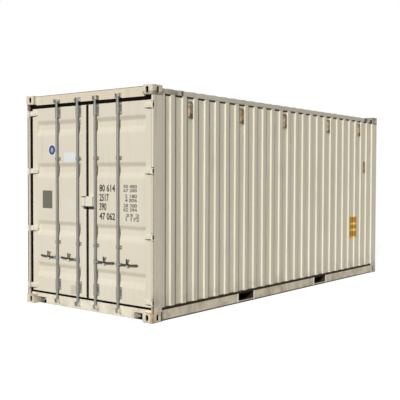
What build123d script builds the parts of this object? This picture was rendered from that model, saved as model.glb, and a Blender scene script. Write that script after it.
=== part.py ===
"""Twenty foot high cube shipping container with a pair of swing doors.

X runs along the length, with the door end at -X. Y runs across the width, with the right hand
side at -Y. Z is up from the base of the corner castings. The origin is at the centre of the
base. All sizes are in millimetres.

Most sections are drawn in depths from the outer faces: "in" from the end face and "across" from
the side face, on the right hand side. The left hand side is the mirror image.
"""
from build123d import *
import os

# Overall size
LENGTH = 6058.0
WIDTH = 2438.0
HEIGHT = 2896.0
FACE_SET = 4.0              # rails and posts lie this far inside the castings' faces

# Corner castings
CASTING_LENGTH = 178.0
CASTING_WIDTH = 162.0
CASTING_HEIGHT = 118.0
CASTING_FLOOR = 28.0        # thickness of the face that carries the long slot
CASTING_WALL = 16.0
CASTING_EDGE_R = 8.0
SLOT_IN = 102.5             # slot centre, in from the end face
SLOT_ACROSS = 89.5          # slot centre, across from the side face
SLOT_LENGTH = 124.5
SLOT_WIDTH = 63.5
SIDE_HOLE_HEIGHT = 79.5
SIDE_HOLE_WIDTH = 51.0

# Door posts
POST_PLATE = 6.0
POST_FRONT_SET = 20.0       # the post's lip lies this far behind the castings' end face
POST_LIP = 30.0
CHANNEL_FLANGE = 39.0
CHANNEL_PLATE = 12.0
CHANNEL_FRONT_SET = 70.0
OPENING_SET = 49.0          # edge of the doorway, across from the side face

# Posts of the closed end
END_POST_WIDTH = 120.0
END_POST_RETURN = 46.0
END_POST_SHOULDER = 56.0

# Rails
TOP_RAIL = 60.0
TOP_RAIL_PLATE = 3.0
TOP_RAIL_DROP = 35.0        # below the castings' top
BOTTOM_RAIL_BASE = 15.0
BOTTOM_RAIL_FLANGE = 46.0
BOTTOM_RAIL_PLATE = 4.5
UPSTAND_SET = 14.0          # the dark strip under the wall lies behind the rail's face
UPSTAND_WIDTH = 30.0
UPSTAND_HEIGHT = 27.5
UPSTAND_PLATE = 3.0
END_RAIL_DEPTH = 60.0
END_RAIL_PLATE = 4.0
END_RAIL_RISE = 32.0        # above the bottom castings

# Door header and sill
BEAM_DROP = 5.0             # below the castings' top
BEAM_FRONT_SET = 55.0
BEAM_PLATE = 4.0
HEADER_DROP = 12.0          # foot of the header beam, below the top castings
HEADER_LIP_SET = 70.0
HEADER_LIP = 6.0
HEADER_LIP_DROP = 43.0      # below the header beam
SILL_RISE = 31.0            # above the bottom castings
SILL_RECESS_WIDTH = 200.0
SILL_RECESS_TOP = 93.0

# Pressed walls and roof
SHEET = 2.0
WALL_SET = 6.0              # the walls' outer flats lie this far inside the castings' faces
WALL_DEPTH = 22.0
WALL_PITCH = 221.5
WALL_OUTER_FLAT = 73.0
WALL_SLOPE = 8.0
WALL_DOOR_END_FLAT = 49.5
WALL_CLOSED_END_FLAT = 2.0
END_WALL_DEPTH = 45.0
END_WALL_PITCH = 243.0
END_WALL_OUTER_FLAT = 100.0
END_WALL_SLOPE = 18.0
ROOF_EDGE_SET = 34.0        # edge of the roof sheet, across from the side face
ROOF_RIDGE_SET = 51.0       # end of a ridge, across from the side face
ROOF_PITCH = 221.3
ROOF_RIDGE_WIDTH = 118.0
ROOF_RIDGE_HEIGHT = 14.0
ROOF_RIDGE_TAPER = 33.0

# Base
FLOOR_THICKNESS = 28.0
FLOOR_BOARDS = 5
FLOOR_JOINT = 2.0
FORK_WIDTH = 362.0
FORK_SPACING = 2070.0
FORK_SHIFT = -65.0          # the pair of pockets lies this far towards the doors
FORK_SILL = 22.0            # height of the rail under a fork mouth
FORK_HEIGHT = 115.0
FORK_PLATE = 4.0
FORK_STRAP = 6.0
FORK_STRAP_WIDTH = 200.0
CROSS_FLANGE = 45.0
CROSS_PLATE = 4.0
CROSS_PITCH = 290.0

# Door leaves
DOOR_FACE_SET = 59.0
DOOR_THICKNESS = 50.0
DOOR_EDGE_SET = 64.0        # steel edge of a leaf, across from the side face
DOOR_GAP = 32.0             # between the steel edges of the two leaves
DOOR_FOOT_GAP = 28.0        # above the sill
DOOR_HEAD_GAP = 5.0         # below the header's lip
DOOR_OUTER_STILE = 102.0
DOOR_INNER_STILE = 112.0
DOOR_RAIL = 150.0
DOOR_FRAME_PLATE = 3.2
RECESS_DEPTH = 34.0
RECESS_HEIGHT = 180.0
RECESS_SLOPE = 52.0         # run of a recess's upper and lower slopes
RECESS_END_SLOPE = 40.0     # run of its end slopes
RECESS_DROPS = (176.0, 757.0)   # tops of the two upper recesses, below the leaf's head
RECESS_RISES = (989.0, 406.0)   # tops of the two lower recesses, above the leaf's foot

# Door gaskets
GASKET_SET = 60.0
GASKET_LIP = 5.0
GASKET_REACH = 24.5         # beyond the leaf's hinge edge
GASKET_HEAD_REACH = 43.0
GASKET_FOOT_REACH = 23.0
GASKET_CENTRE_GAP = 10.0

# Hinges
HINGE_COUNT = 4
HINGE_FOOT_SET = 67.0       # lowest hinge, above the leaf's foot
HINGE_HEAD_SET = 66.0       # highest hinge, below the leaf's head
HINGE_AXIS_SET = 20.0       # in from the end face and across from the side face
HINGE_PIN_R = 8.0
PIN_CLEARANCE = 0.08        # round every pin
HINGE_KNUCKLE_R = 16.0
HINGE_KNUCKLE_HEIGHT = 50.0
HINGE_LUG = 14.0
HINGE_LUG_GAP = 1.0
HINGE_LUG_SIDE_GAP = 1.0    # between a lug's root and the post's outer plate
HINGE_NECK_LAP = 4.0        # the neck starts this far outside the axis
HINGE_LINK_LAP = 1.0        # the link runs this far into the blade
HINGE_BLADE = 14.0
HINGE_BLADE_HEIGHT = 76.0
HINGE_BLADE_TIP_HEIGHT = 46.0
HINGE_BLADE_SHOULDER = 49.0 # full height of the blade, in from the leaf's edge
HINGE_BLADE_REACH = 121.0   # whole reach of the blade, in from the leaf's edge
HINGE_BLADE_GAP = 5.0       # between the knuckle and the full height of the blade
HINGE_NOTCH_HEIGHT = 92.0
HINGE_NOTCH_DEPTH = 24.0

# Locking bars, cams and keepers
BAR_AXIS_SET = 29.0
BAR_INNER = 172.0           # inner bar, from the container's centre line
BAR_SPACING = 420.0
BAR_R = 17.0
BAR_WALL = 3.2
BAR_FOOT_OVERLAP = 34.0     # foot of a bar, below the bottom castings' top
BAR_HEAD_OVERLAP = 20.0     # head of a bar, above the top castings' foot
CAM_HUB_R = 20.0
CAM_HEIGHT = 36.0
CAM_REACH = 32.0
CAM_THICKNESS = 18.0
KEEPER_HEIGHT = 52.0
KEEPER_PLATE = 10.0
KEEPER_WEB = 4.0
KEEPER_LIP = 6.0
KEEPER_LIP_REACH = 28.5     # tip of the hook, across from the bar's axis
KEEPER_FRONT = 24.0         # front of the hook, out from the bar's axis
KEEPER_GUARD_FRONT = 18.0
KEEPER_CAM_GAP = 5.0
KEEPER_HUB_GAP = 6.0

# Bar brackets and guides
GUIDE_CLEARANCE = 0.1
GUIDE_R = 23.0
GUIDE_FLANGE = 6.0
GUIDE_FLANGE_WIDTH = 92.0
GUIDE_HEIGHT = 44.0
GUIDE_FOOT_SET = 711.0      # above the leaf's foot
GUIDE_HEAD_SET = 700.0      # below the leaf's head
BRACKET_HEIGHT = 150.0
BRACKET_FOOT_SET = 131.0
BRACKET_HEAD_SET = 76.0

# Handles and hubs
HANDLE_SET = 500.0          # pivot of a handle, above the leaf's foot
HANDLE_PIVOT_REACH = 55.0
HANDLE_REACH = 345.0
HANDLE_THICKNESS = 12.0
HANDLE_DEPTH = 26.0
HANDLE_SAG = 2.0
HANDLE_SAG_PLACE = 0.45     # where along the lever it hangs lowest
HANDLE_TIP_LENGTH = 14.0
HANDLE_TIP_RISE = 6.0
HANDLE_TIP_NOSE = 4.0
HANDLE_TIP_BULGE = 1.0
HANDLE_PIN_R = 6.0
HANDLE_PIN_HEAD = 2.0       # the pin stands this far out of each cheek
HUB_R = 22.0
HUB_HEIGHT = 58.0
HUB_CHEEK = 6.0
HUB_CHEEK_GAP = 0.3

# Retainers and catches
RETAINER_REACH = 175.0      # centre of the retainer, across from the bar
RETAINER_WIDTH = 36.0
RETAINER_PLATE = 4.0
RETAINER_FOOT_DROP = 44.0   # below the handle's pivot
RETAINER_HEAD_RISE = 77.0   # above the handle's pivot
RETAINER_SEAT_GAP = 1.5     # under the resting handle
LEDGE = 6.0
LEDGE_FRONT = 18.0          # front of the ledge's toe, out from the bar's axis
TOE = 5.0
TOE_RISE = 8.0
EAR = 5.0
EAR_HEIGHT = 16.0
CATCH_PIN_SET = 18.0
CATCH_PIN_R = 4.0
CATCH_BARREL_WALL = 4.0
CATCH_PLATE = 5.0
CATCH_EAR_GAP = 1.0
CATCH_TAIL_DROP = 2.0       # foot of the flap, below the handle's pivot

# Lock box and data plate
LOCK_BOX_SET = 6.0
LOCK_BOX_RISE = 1208.0      # above the leaf's foot
LOCK_BOX_HEIGHT = 136.0
LOCK_BOX_RIGHT_EDGE = 150.0
LOCK_BOX_LEFT_EDGE = 82.0
LOCK_BOX_SEAM = 8.0
LOCK_BOX_PLATE = 5.0
LOCK_BOX_CORNER_R = 22.0
DATA_PLATE_WIDTH = 206.0
DATA_PLATE_HEIGHT = 245.0
DATA_PLATE_THICKNESS = 2.0
DATA_PLATE_SET = 325.0      # centre, in from the leaf's hinge edge
DATA_PLATE_RISE = 1284.0    # centre, above the leaf's foot

# Values worked out from the sizes above
CUT = 1.0                   # cutters run this far past what they cut
RIGHT = -1
LEFT = 1
HALF_L = LENGTH / 2
HALF_W = WIDTH / 2
POST_FOOT = CASTING_HEIGHT
POST_HEAD = HEIGHT - CASTING_HEIGHT
OPENING_HALF_WIDTH = HALF_W - OPENING_SET
CASTING_INNER_Y = HALF_W - CASTING_WIDTH
RAIL_END_X = HALF_L - CASTING_LENGTH
TOP_RAIL_TOP = HEIGHT - TOP_RAIL_DROP
TOP_RAIL_FOOT = TOP_RAIL_TOP - TOP_RAIL
BEAM_TOP = HEIGHT - BEAM_DROP
HEADER_FOOT = POST_HEAD - HEADER_DROP
HEADER_LIP_FOOT = HEADER_FOOT - HEADER_LIP_DROP
SILL_TOP = POST_FOOT + SILL_RISE
FORK_BASE = BOTTOM_RAIL_BASE + FORK_STRAP
FORK_TOP = FORK_BASE + FORK_HEIGHT
FLOOR_BASE = FORK_TOP + FORK_PLATE
BOTTOM_RAIL_TOP = FLOOR_BASE + BOTTOM_RAIL_PLATE
WALL_FOOT = BOTTOM_RAIL_TOP + UPSTAND_HEIGHT
END_WALL_FOOT = POST_FOOT + END_RAIL_RISE
CROSS_BASE = BOTTOM_RAIL_BASE + BOTTOM_RAIL_PLATE
CROSS_END_Y = HALF_W - FACE_SET - BOTTOM_RAIL_PLATE
FORK_CENTRES = (FORK_SHIFT - FORK_SPACING / 2, FORK_SHIFT + FORK_SPACING / 2)
DOOR_FOOT = SILL_TOP + DOOR_FOOT_GAP
DOOR_HEAD = HEADER_LIP_FOOT - DOOR_HEAD_GAP
LEAF_OUTER_Y = -HALF_W + DOOR_EDGE_SET
LEAF_INNER_Y = -DOOR_GAP / 2
PANEL_OUTER_Y = LEAF_OUTER_Y + DOOR_OUTER_STILE
PANEL_INNER_Y = LEAF_INNER_Y - DOOR_INNER_STILE
HINGE_LOW = DOOR_FOOT + HINGE_FOOT_SET
HINGE_PITCH = (DOOR_HEAD - HINGE_HEAD_SET - HINGE_LOW) / (HINGE_COUNT - 1)
HINGE_HEIGHTS = [HINGE_LOW + index * HINGE_PITCH for index in range(HINGE_COUNT)]
BAR_POSITIONS = (BAR_INNER, BAR_INNER + BAR_SPACING)
BAR_FOOT = POST_FOOT - BAR_FOOT_OVERLAP
BAR_HEAD = POST_HEAD + BAR_HEAD_OVERLAP
HANDLE_Z = DOOR_FOOT + HANDLE_SET
CATCH_PIN_Z = HANDLE_Z + RETAINER_HEAD_RISE - EAR_HEIGHT / 2


def block(x0, x1, y0, y1, z0, z1):
    """A box between two corners."""
    return Pos((x0 + x1) / 2, (y0 + y1) / 2, (z0 + z1) / 2) * Box(abs(x1 - x0), abs(y1 - y0), abs(z1 - z0))


def in_x(depth):
    """X of a depth in from the door end."""
    return depth - HALF_L


def door_end(in0, in1, across0, across1, z0, z1):
    """A box at the door end, on the right hand side, drawn in depths from the end and side faces."""
    return block(in_x(in0), in_x(in1), across0 - HALF_W, across1 - HALF_W, z0, z1)


def plan_prism(points, z0, z1):
    """An outline of (x, y) points, raised from z0 to z1."""
    outline = make_face(Polyline(*[(x, y, z0) for x, y in points], close=True))
    return extrude(outline, amount=z1 - z0, dir=(0, 0, 1))


def upright(radius, x, y, z0, z1):
    """A vertical round bar."""
    return Pos(x, y, (z0 + z1) / 2) * Cylinder(radius, abs(z1 - z0))


def pin_along_x(radius, x0, x1, y, z):
    """A round pin that lies along the container."""
    return Pos((x0 + x1) / 2, y, z) * Rot(0, 90, 0) * Cylinder(radius, abs(x1 - x0))


def pin_along_y(radius, x, y0, y1, z):
    """A round pin that lies across the container."""
    return Pos(x, (y0 + y1) / 2, z) * Rot(90, 0, 0) * Cylinder(radius, abs(y1 - y0))


def fused(pieces):
    """One solid from several that touch."""
    result = pieces[0]
    for piece in pieces[1:]:
        result = result + piece
    return result


def other_side(shape):
    """The same shape on the left hand side."""
    return mirror(shape, about=Plane.XZ)


def for_side(side, shape):
    """A shape drawn on the right hand side, brought to either side."""
    return other_side(shape) if side == LEFT else shape


# Corner castings

def stadium_cut(length, width, depth, rotation):
    """A cutter with round ends, long in its own X, turned into place."""
    return rotation * extrude(SlotOverall(length, width), amount=depth, both=True)


def corner_casting():
    """A bottom casting at the door end, on the right: a hollow block with a slot and two side holes."""
    body = door_end(0, CASTING_LENGTH, 0, CASTING_WIDTH, 0, CASTING_HEIGHT)
    edge = body.edges().filter_by(Axis.Z).sort_by(Axis.X)[:2].sort_by(Axis.Y)[:1]
    body = fillet(edge, CASTING_EDGE_R)
    hollow = door_end(CASTING_WALL, CASTING_LENGTH - CASTING_WALL, CASTING_WALL, CASTING_WIDTH - CASTING_WALL,
                      CASTING_FLOOR, CASTING_HEIGHT - CASTING_WALL)
    slot_x = in_x(SLOT_IN)
    slot_y = SLOT_ACROSS - HALF_W
    hole_z = CASTING_HEIGHT / 2
    wall_cut = CASTING_WALL + CUT
    base_slot = Pos(slot_x, slot_y, 0) * stadium_cut(SLOT_LENGTH, SLOT_WIDTH, CASTING_FLOOR + CUT, Rot(0, 0, 0))
    end_hole = Pos(-HALF_L, slot_y, hole_z) * stadium_cut(SIDE_HOLE_HEIGHT, SIDE_HOLE_WIDTH, wall_cut, Rot(0, 90, 0))
    side_hole = Pos(slot_x, -HALF_W, hole_z) * stadium_cut(SIDE_HOLE_HEIGHT, SIDE_HOLE_WIDTH, wall_cut,
                                                           Rot(90, 0, 0) * Rot(0, 0, 90))
    return body - hollow - base_slot - end_hole - side_hole


def four_castings(top):
    """The four castings of the base, or of the roof."""
    first = corner_casting()
    if top:
        first = Pos(0, 0, HEIGHT) * mirror(first, about=Plane.XY)
    pair = [first, mirror(first, about=Plane.YZ)]
    return pair + [other_side(casting) for casting in pair]


# Posts

def hinge_notch(z):
    """The space round one hinge, taken out of the door post."""
    z0 = z - HINGE_NOTCH_HEIGHT / 2
    z1 = z + HINGE_NOTCH_HEIGHT / 2
    front = POST_FRONT_SET - CUT
    lip_end = FACE_SET + POST_LIP + CUT
    corner = door_end(front, POST_FRONT_SET + HINGE_NOTCH_DEPTH, FACE_SET - CUT, lip_end, z0, z1)
    behind = door_end(front, CHANNEL_FRONT_SET, FACE_SET + POST_PLATE, lip_end, z0, z1)
    return corner + behind


def door_post():
    """A pressed outer plate with a lip, welded to a rolled channel that frames the doorway."""
    lip_end = FACE_SET + POST_LIP
    channel_end = CASTING_LENGTH
    flange_start = OPENING_SET - CHANNEL_FLANGE
    plates = [(POST_FRONT_SET, channel_end, FACE_SET, FACE_SET + POST_PLATE),
              (POST_FRONT_SET, POST_FRONT_SET + POST_PLATE, FACE_SET, lip_end),
              (POST_FRONT_SET, CHANNEL_FRONT_SET, lip_end - POST_PLATE, lip_end),
              (CHANNEL_FRONT_SET, channel_end, OPENING_SET - CHANNEL_PLATE, OPENING_SET),
              (CHANNEL_FRONT_SET, CHANNEL_FRONT_SET + CHANNEL_PLATE, flange_start, OPENING_SET),
              (channel_end - CHANNEL_PLATE, channel_end, flange_start, OPENING_SET)]
    post = fused([door_end(*plate, POST_FOOT, POST_HEAD) for plate in plates])
    for z in HINGE_HEIGHTS:
        post = post - hinge_notch(z)
    return post


def end_post():
    """A folded five sided post of the closed end, with a slanted inner face."""
    side = FACE_SET
    corners = [(HALF_L - side, -HALF_W + side),
               (RAIL_END_X, -HALF_W + side),
               (RAIL_END_X, -HALF_W + END_POST_RETURN),
               (HALF_L - END_POST_SHOULDER, -HALF_W + END_POST_WIDTH),
               (HALF_L - side, -HALF_W + END_POST_WIDTH)]
    outline = make_face(Polyline(*corners, close=True))
    section = outline - offset(outline, amount=-POST_PLATE, kind=Kind.INTERSECTION)
    return Pos(0, 0, POST_FOOT) * extrude(section, amount=POST_HEAD - POST_FOOT, dir=(0, 0, 1))


# Rails, header and sill

def box_tube(x0, x1, y0, y1, z0, z1, plate, along):
    """A rectangular tube that is open at both ends along one axis."""
    inset = {"x": (0, plate, plate), "y": (plate, 0, plate), "z": (plate, plate, 0)}[along]
    hollow = block(x0 + inset[0], x1 - inset[0], y0 + inset[1], y1 - inset[1], z0 + inset[2], z1 - inset[2])
    return block(x0, x1, y0, y1, z0, z1) - hollow


def top_side_rail():
    """A square tube between the top castings."""
    y0 = -HALF_W + FACE_SET
    return box_tube(-RAIL_END_X, RAIL_END_X, y0, y0 + TOP_RAIL, TOP_RAIL_FOOT, TOP_RAIL_TOP, TOP_RAIL_PLATE, "x")


def bottom_side_rail():
    """A channel with the narrow strip that the wall stands on, cut through at the fork pockets."""
    y0 = -HALF_W + FACE_SET
    flange_end = y0 + BOTTOM_RAIL_FLANGE
    plate = BOTTOM_RAIL_PLATE
    web = block(-RAIL_END_X, RAIL_END_X, y0, y0 + plate, BOTTOM_RAIL_BASE, BOTTOM_RAIL_TOP)
    low = block(-RAIL_END_X, RAIL_END_X, y0, flange_end, BOTTOM_RAIL_BASE, CROSS_BASE)
    high = block(-RAIL_END_X, RAIL_END_X, y0, flange_end, FLOOR_BASE, BOTTOM_RAIL_TOP)
    strip_y = -HALF_W + UPSTAND_SET
    strip = box_tube(-RAIL_END_X, RAIL_END_X, strip_y, strip_y + UPSTAND_WIDTH,
                     BOTTOM_RAIL_TOP, WALL_FOOT, UPSTAND_PLATE, "x")
    rail = fused([web, low, high, strip])
    for x in FORK_CENTRES:
        half = FORK_WIDTH / 2
        behind = block(x - half - FORK_PLATE, x + half + FORK_PLATE, y0 + plate, flange_end + CUT,
                       BOTTOM_RAIL_BASE - CUT, FLOOR_BASE)
        mouth = block(x - half, x + half, y0 - CUT, y0 + plate + CUT, BOTTOM_RAIL_BASE + FORK_SILL, FORK_TOP)
        rail = rail - behind - mouth
    return rail


def door_header():
    """The beam over the doorway, with the lip that the gaskets close against."""
    beam = box_tube(in_x(BEAM_FRONT_SET), -RAIL_END_X, -CASTING_INNER_Y, CASTING_INNER_Y,
                    HEADER_FOOT, BEAM_TOP, BEAM_PLATE, "y")
    lip = block(in_x(HEADER_LIP_SET), in_x(HEADER_LIP_SET + HEADER_LIP), -OPENING_HALF_WIDTH, OPENING_HALF_WIDTH,
                HEADER_LIP_FOOT, POST_HEAD)
    return beam + lip


def door_sill():
    """The beam under the doorway, cut back beside the castings."""
    x0 = in_x(BEAM_FRONT_SET)
    low = box_tube(x0, -RAIL_END_X, -CASTING_INNER_Y, CASTING_INNER_Y, BOTTOM_RAIL_BASE, POST_FOOT, BEAM_PLATE, "y")
    high = box_tube(x0, -RAIL_END_X, -OPENING_HALF_WIDTH, OPENING_HALF_WIDTH, POST_FOOT, SILL_TOP, BEAM_PLATE, "y")
    sill = low + high
    for side in (RIGHT, LEFT):
        outer = side * CASTING_INNER_Y
        inner = side * (CASTING_INNER_Y - SILL_RECESS_WIDTH)
        lining = block(x0, -RAIL_END_X, outer, inner - side * BEAM_PLATE,
                       BOTTOM_RAIL_BASE, SILL_RECESS_TOP + BEAM_PLATE)
        cut = block(x0 - CUT, -RAIL_END_X + CUT, outer, inner, BOTTOM_RAIL_BASE - CUT, SILL_RECESS_TOP)
        sill = sill + lining - cut
    return sill


def end_top_rail():
    """The tube across the top of the closed end, with the plate that joins it to the roof."""
    x1 = HALF_L - FACE_SET
    tube = box_tube(x1 - END_RAIL_DEPTH, x1, -CASTING_INNER_Y, CASTING_INNER_Y,
                    POST_HEAD, BEAM_TOP, END_RAIL_PLATE, "y")
    plate = block(RAIL_END_X, x1 - END_RAIL_DEPTH, -CASTING_INNER_Y, CASTING_INNER_Y,
                  TOP_RAIL_TOP - END_RAIL_PLATE, TOP_RAIL_TOP)
    return tube + plate


def end_bottom_rail():
    """The beam under the closed end wall."""
    x1 = HALF_L - FACE_SET
    x0 = x1 - END_RAIL_DEPTH
    wall_end = HALF_W - END_POST_WIDTH
    low = box_tube(x0, x1, -CASTING_INNER_Y, CASTING_INNER_Y, BOTTOM_RAIL_BASE, POST_FOOT, END_RAIL_PLATE, "y")
    high = box_tube(x0, x1, -wall_end, wall_end, POST_FOOT, END_WALL_FOOT, END_RAIL_PLATE, "y")
    return low + high


# Pressed walls and roof

def pressed_sheet(profile, thickness, z0, z1):
    """A vertical sheet whose outer face follows (x, y) points and whose inner face lies behind it."""
    dx, dy = thickness
    inner = [(x + dx, y + dy) for x, y in reversed(profile)]
    return plan_prism(profile + inner, z0, z1)


def side_wall_recesses():
    """(start, end) of each recess of the side wall, with a narrower one beside the door post."""
    door_limit = WALL_DOOR_END_FLAT - RAIL_END_X
    end = RAIL_END_X - WALL_CLOSED_END_FLAT
    recesses = []
    while end - door_limit > 2 * WALL_SLOPE:
        recesses.append((max(end - WALL_PITCH + WALL_OUTER_FLAT, door_limit), end))
        end -= WALL_PITCH
    return reversed(recesses)


def side_wall():
    """The vertically pressed sheet between the posts."""
    y0 = -HALF_W + WALL_SET
    y1 = y0 + WALL_DEPTH
    profile = [(-RAIL_END_X, y0)]
    for start, end in side_wall_recesses():
        profile += [(start, y0), (start + WALL_SLOPE, y1), (end - WALL_SLOPE, y1), (end, y0)]
    profile.append((RAIL_END_X, y0))
    return pressed_sheet(profile, (0, SHEET), WALL_FOOT, TOP_RAIL_FOOT)


def end_wall():
    """The vertically pressed sheet of the closed end."""
    half = HALF_W - END_POST_WIDTH
    x0 = HALF_L - WALL_SET
    x1 = x0 - END_WALL_DEPTH
    count = int((2 * half - END_WALL_OUTER_FLAT) // END_WALL_PITCH)
    profile = [(x0, -half)]
    for index in range(count):
        centre = (index - (count - 1) / 2) * END_WALL_PITCH
        start = centre - (END_WALL_PITCH - END_WALL_OUTER_FLAT) / 2
        end = 2 * centre - start
        profile += [(x0, start), (x1, start + END_WALL_SLOPE), (x1, end - END_WALL_SLOPE), (x0, end)]
    profile.append((x0, half))
    return pressed_sheet(profile, (-SHEET, 0), END_WALL_FOOT, POST_HEAD)


def roof_panel():
    """A flat sheet with stamped cross ridges."""
    half = HALF_W - ROOF_EDGE_SET
    ridge_half = HALF_W - ROOF_RIDGE_SET
    top = TOP_RAIL_TOP + SHEET
    sheet = block(-RAIL_END_X, RAIL_END_X, -half, half, TOP_RAIL_TOP, top)
    count = int((2 * RAIL_END_X - ROOF_RIDGE_WIDTH) // ROOF_PITCH)
    centres = [(index - (count - 1) / 2) * ROOF_PITCH for index in range(count)]
    plan = Rectangle(ROOF_RIDGE_WIDTH, 2 * ridge_half)
    ridge = extrude(plan, amount=ROOF_RIDGE_HEIGHT, taper=ROOF_RIDGE_TAPER)
    hollow = Pos(0, 0, -SHEET) * ridge
    return sheet + [Pos(x, 0, top) * ridge for x in centres] - [Pos(x, 0, top) * hollow for x in centres]


# Base

def floor_boards():
    """Plywood sheets laid side by side along the floor."""
    x0 = -RAIL_END_X
    x1 = HALF_L - FACE_SET - END_RAIL_DEPTH
    half = HALF_W - FACE_SET - BOTTOM_RAIL_FLANGE - FLOOR_JOINT
    pitch = (x1 - x0) / FLOOR_BOARDS
    boards = []
    for index in range(FLOOR_BOARDS):
        start = x0 + index * pitch + FLOOR_JOINT / 2
        end = x0 + (index + 1) * pitch - FLOOR_JOINT / 2
        board = block(start, end, -half, half, FLOOR_BASE, FLOOR_BASE + FLOOR_THICKNESS)
        if end > RAIL_END_X:
            for side in (RIGHT, LEFT):
                board = board - block(RAIL_END_X - FLOOR_JOINT, end + CUT, side * (CASTING_INNER_Y - FLOOR_JOINT),
                                      side * HALF_W, FLOOR_BASE - CUT, FLOOR_BASE + FLOOR_THICKNESS + CUT)
        boards.append(board)
    return boards


def cross_members():
    """Channels across the base, left out where a fork pocket takes their place."""
    clear = FORK_WIDTH / 2 + FORK_PLATE + CROSS_FLANGE
    count = int(2 * (RAIL_END_X - CROSS_FLANGE) // CROSS_PITCH)
    members = []
    for index in range(count + 1):
        x = (index - count / 2) * CROSS_PITCH
        middle = x + CROSS_FLANGE / 2
        if min(abs(middle - centre) for centre in FORK_CENTRES) < clear:
            continue
        web = block(x, x + CROSS_PLATE, -CROSS_END_Y, CROSS_END_Y, CROSS_BASE, FLOOR_BASE)
        flanges = [block(x, x + CROSS_FLANGE, -CROSS_END_Y, CROSS_END_Y, z, z + CROSS_PLATE)
                   for z in (CROSS_BASE, FLOOR_BASE - CROSS_PLATE)]
        members.append(fused([web] + flanges))
    return members


def fork_pocket(x):
    """A tunnel across the base: two webs, a top plate and a strap under each mouth."""
    half = FORK_WIDTH / 2
    roof = block(x - half - FORK_PLATE, x + half + FORK_PLATE, -CROSS_END_Y, CROSS_END_Y, FORK_TOP, FLOOR_BASE)
    webs = [block(x + s * half, x + s * (half + FORK_PLATE), -CROSS_END_Y, CROSS_END_Y, BOTTOM_RAIL_BASE, FORK_TOP)
            for s in (-1, 1)]
    straps = [block(x - half, x + half, s * CROSS_END_Y, s * (CROSS_END_Y - FORK_STRAP_WIDTH),
                    BOTTOM_RAIL_BASE, FORK_BASE) for s in (-1, 1)]
    return fused([roof] + webs + straps)


# Hinges

def hinge_lugs(z):
    """Two lugs on the post, with the pin fixed in them."""
    x = in_x(HINGE_AXIS_SET)
    y = HINGE_AXIS_SET - HALF_W
    half = HINGE_KNUCKLE_HEIGHT / 2 + HINGE_LUG_GAP
    pieces = [upright(HINGE_PIN_R, x, y, z - half - HINGE_LUG, z + half + HINGE_LUG)]
    for s in (-1, 1):
        z0, z1 = sorted((z + s * half, z + s * (half + HINGE_LUG)))
        root = door_end(HINGE_AXIS_SET, CHANNEL_FRONT_SET, FACE_SET + POST_PLATE + HINGE_LUG_SIDE_GAP,
                        HINGE_AXIS_SET + HINGE_KNUCKLE_R, z0, z1)
        pieces += [upright(HINGE_KNUCKLE_R, x, y, z0, z1), root]
    return fused(pieces)


def hinge_blade(z):
    """A blade on the leaf's face, with its knuckle set forward round the pin."""
    x = in_x(HINGE_AXIS_SET)
    y = HINGE_AXIS_SET - HALF_W
    half = HINGE_KNUCKLE_HEIGHT / 2
    front = DOOR_FACE_SET - HINGE_BLADE
    neck_start = HINGE_AXIS_SET - HINGE_NECK_LAP
    knuckle_end = HINGE_AXIS_SET + HINGE_KNUCKLE_R
    start = knuckle_end + HINGE_BLADE_GAP
    knuckle = upright(HINGE_KNUCKLE_R, x, y, z - half, z + half)
    neck = door_end(HINGE_AXIS_SET, DOOR_FACE_SET, neck_start, knuckle_end, z - half, z + half)
    link = door_end(front, DOOR_FACE_SET, neck_start, start + HINGE_LINK_LAP, z - half, z + half)
    tall = HINGE_BLADE_HEIGHT / 2
    tip = HINGE_BLADE_TIP_HEIGHT / 2
    shoulder = DOOR_EDGE_SET + HINGE_BLADE_SHOULDER
    reach = DOOR_EDGE_SET + HINGE_BLADE_REACH
    outline = [(start, -tall), (shoulder, -tall), (reach, -tip), (reach, tip), (shoulder, tall), (start, tall)]
    face = make_face(Polyline(*[(in_x(front), across - HALF_W, z + dz) for across, dz in outline], close=True))
    blade = extrude(face, amount=HINGE_BLADE, dir=(1, 0, 0))
    bore = upright(HINGE_PIN_R + PIN_CLEARANCE, x, y, z - half - CUT, z + half + CUT)
    return fused([knuckle, neck, link, blade]) - bore


# Door leaves, drawn on the right hand side

def door_frame():
    """Two upright tubes and two cross tubes, welded into a frame."""
    x0 = in_x(DOOR_FACE_SET)
    x1 = x0 + DOOR_THICKNESS
    plate = DOOR_FRAME_PLATE
    stiles = [box_tube(x0, x1, y0, y1, DOOR_FOOT, DOOR_HEAD, plate, "z")
              for y0, y1 in ((LEAF_OUTER_Y, PANEL_OUTER_Y), (PANEL_INNER_Y, LEAF_INNER_Y))]
    rails = [box_tube(x0, x1, PANEL_OUTER_Y, PANEL_INNER_Y, z0, z0 + DOOR_RAIL, plate, "y")
             for z0 in (DOOR_FOOT, DOOR_HEAD - DOOR_RAIL)]
    return fused(stiles + rails)


def recess_form(top):
    """The space of one pressed recess, which narrows towards its flat bottom."""
    width = PANEL_INNER_Y - PANEL_OUTER_Y
    middle = ((PANEL_OUTER_Y + PANEL_INNER_Y) / 2, top - RECESS_HEIGHT / 2)
    mouth = Plane(origin=(in_x(DOOR_FACE_SET), *middle), x_dir=(0, 1, 0), z_dir=(1, 0, 0))
    mouth_face = mouth * Rectangle(width, RECESS_HEIGHT)
    bottom_face = mouth.offset(RECESS_DEPTH) * Rectangle(width - 2 * RECESS_END_SLOPE,
                                                         RECESS_HEIGHT - 2 * RECESS_SLOPE)
    return loft([mouth_face, bottom_face])


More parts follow.
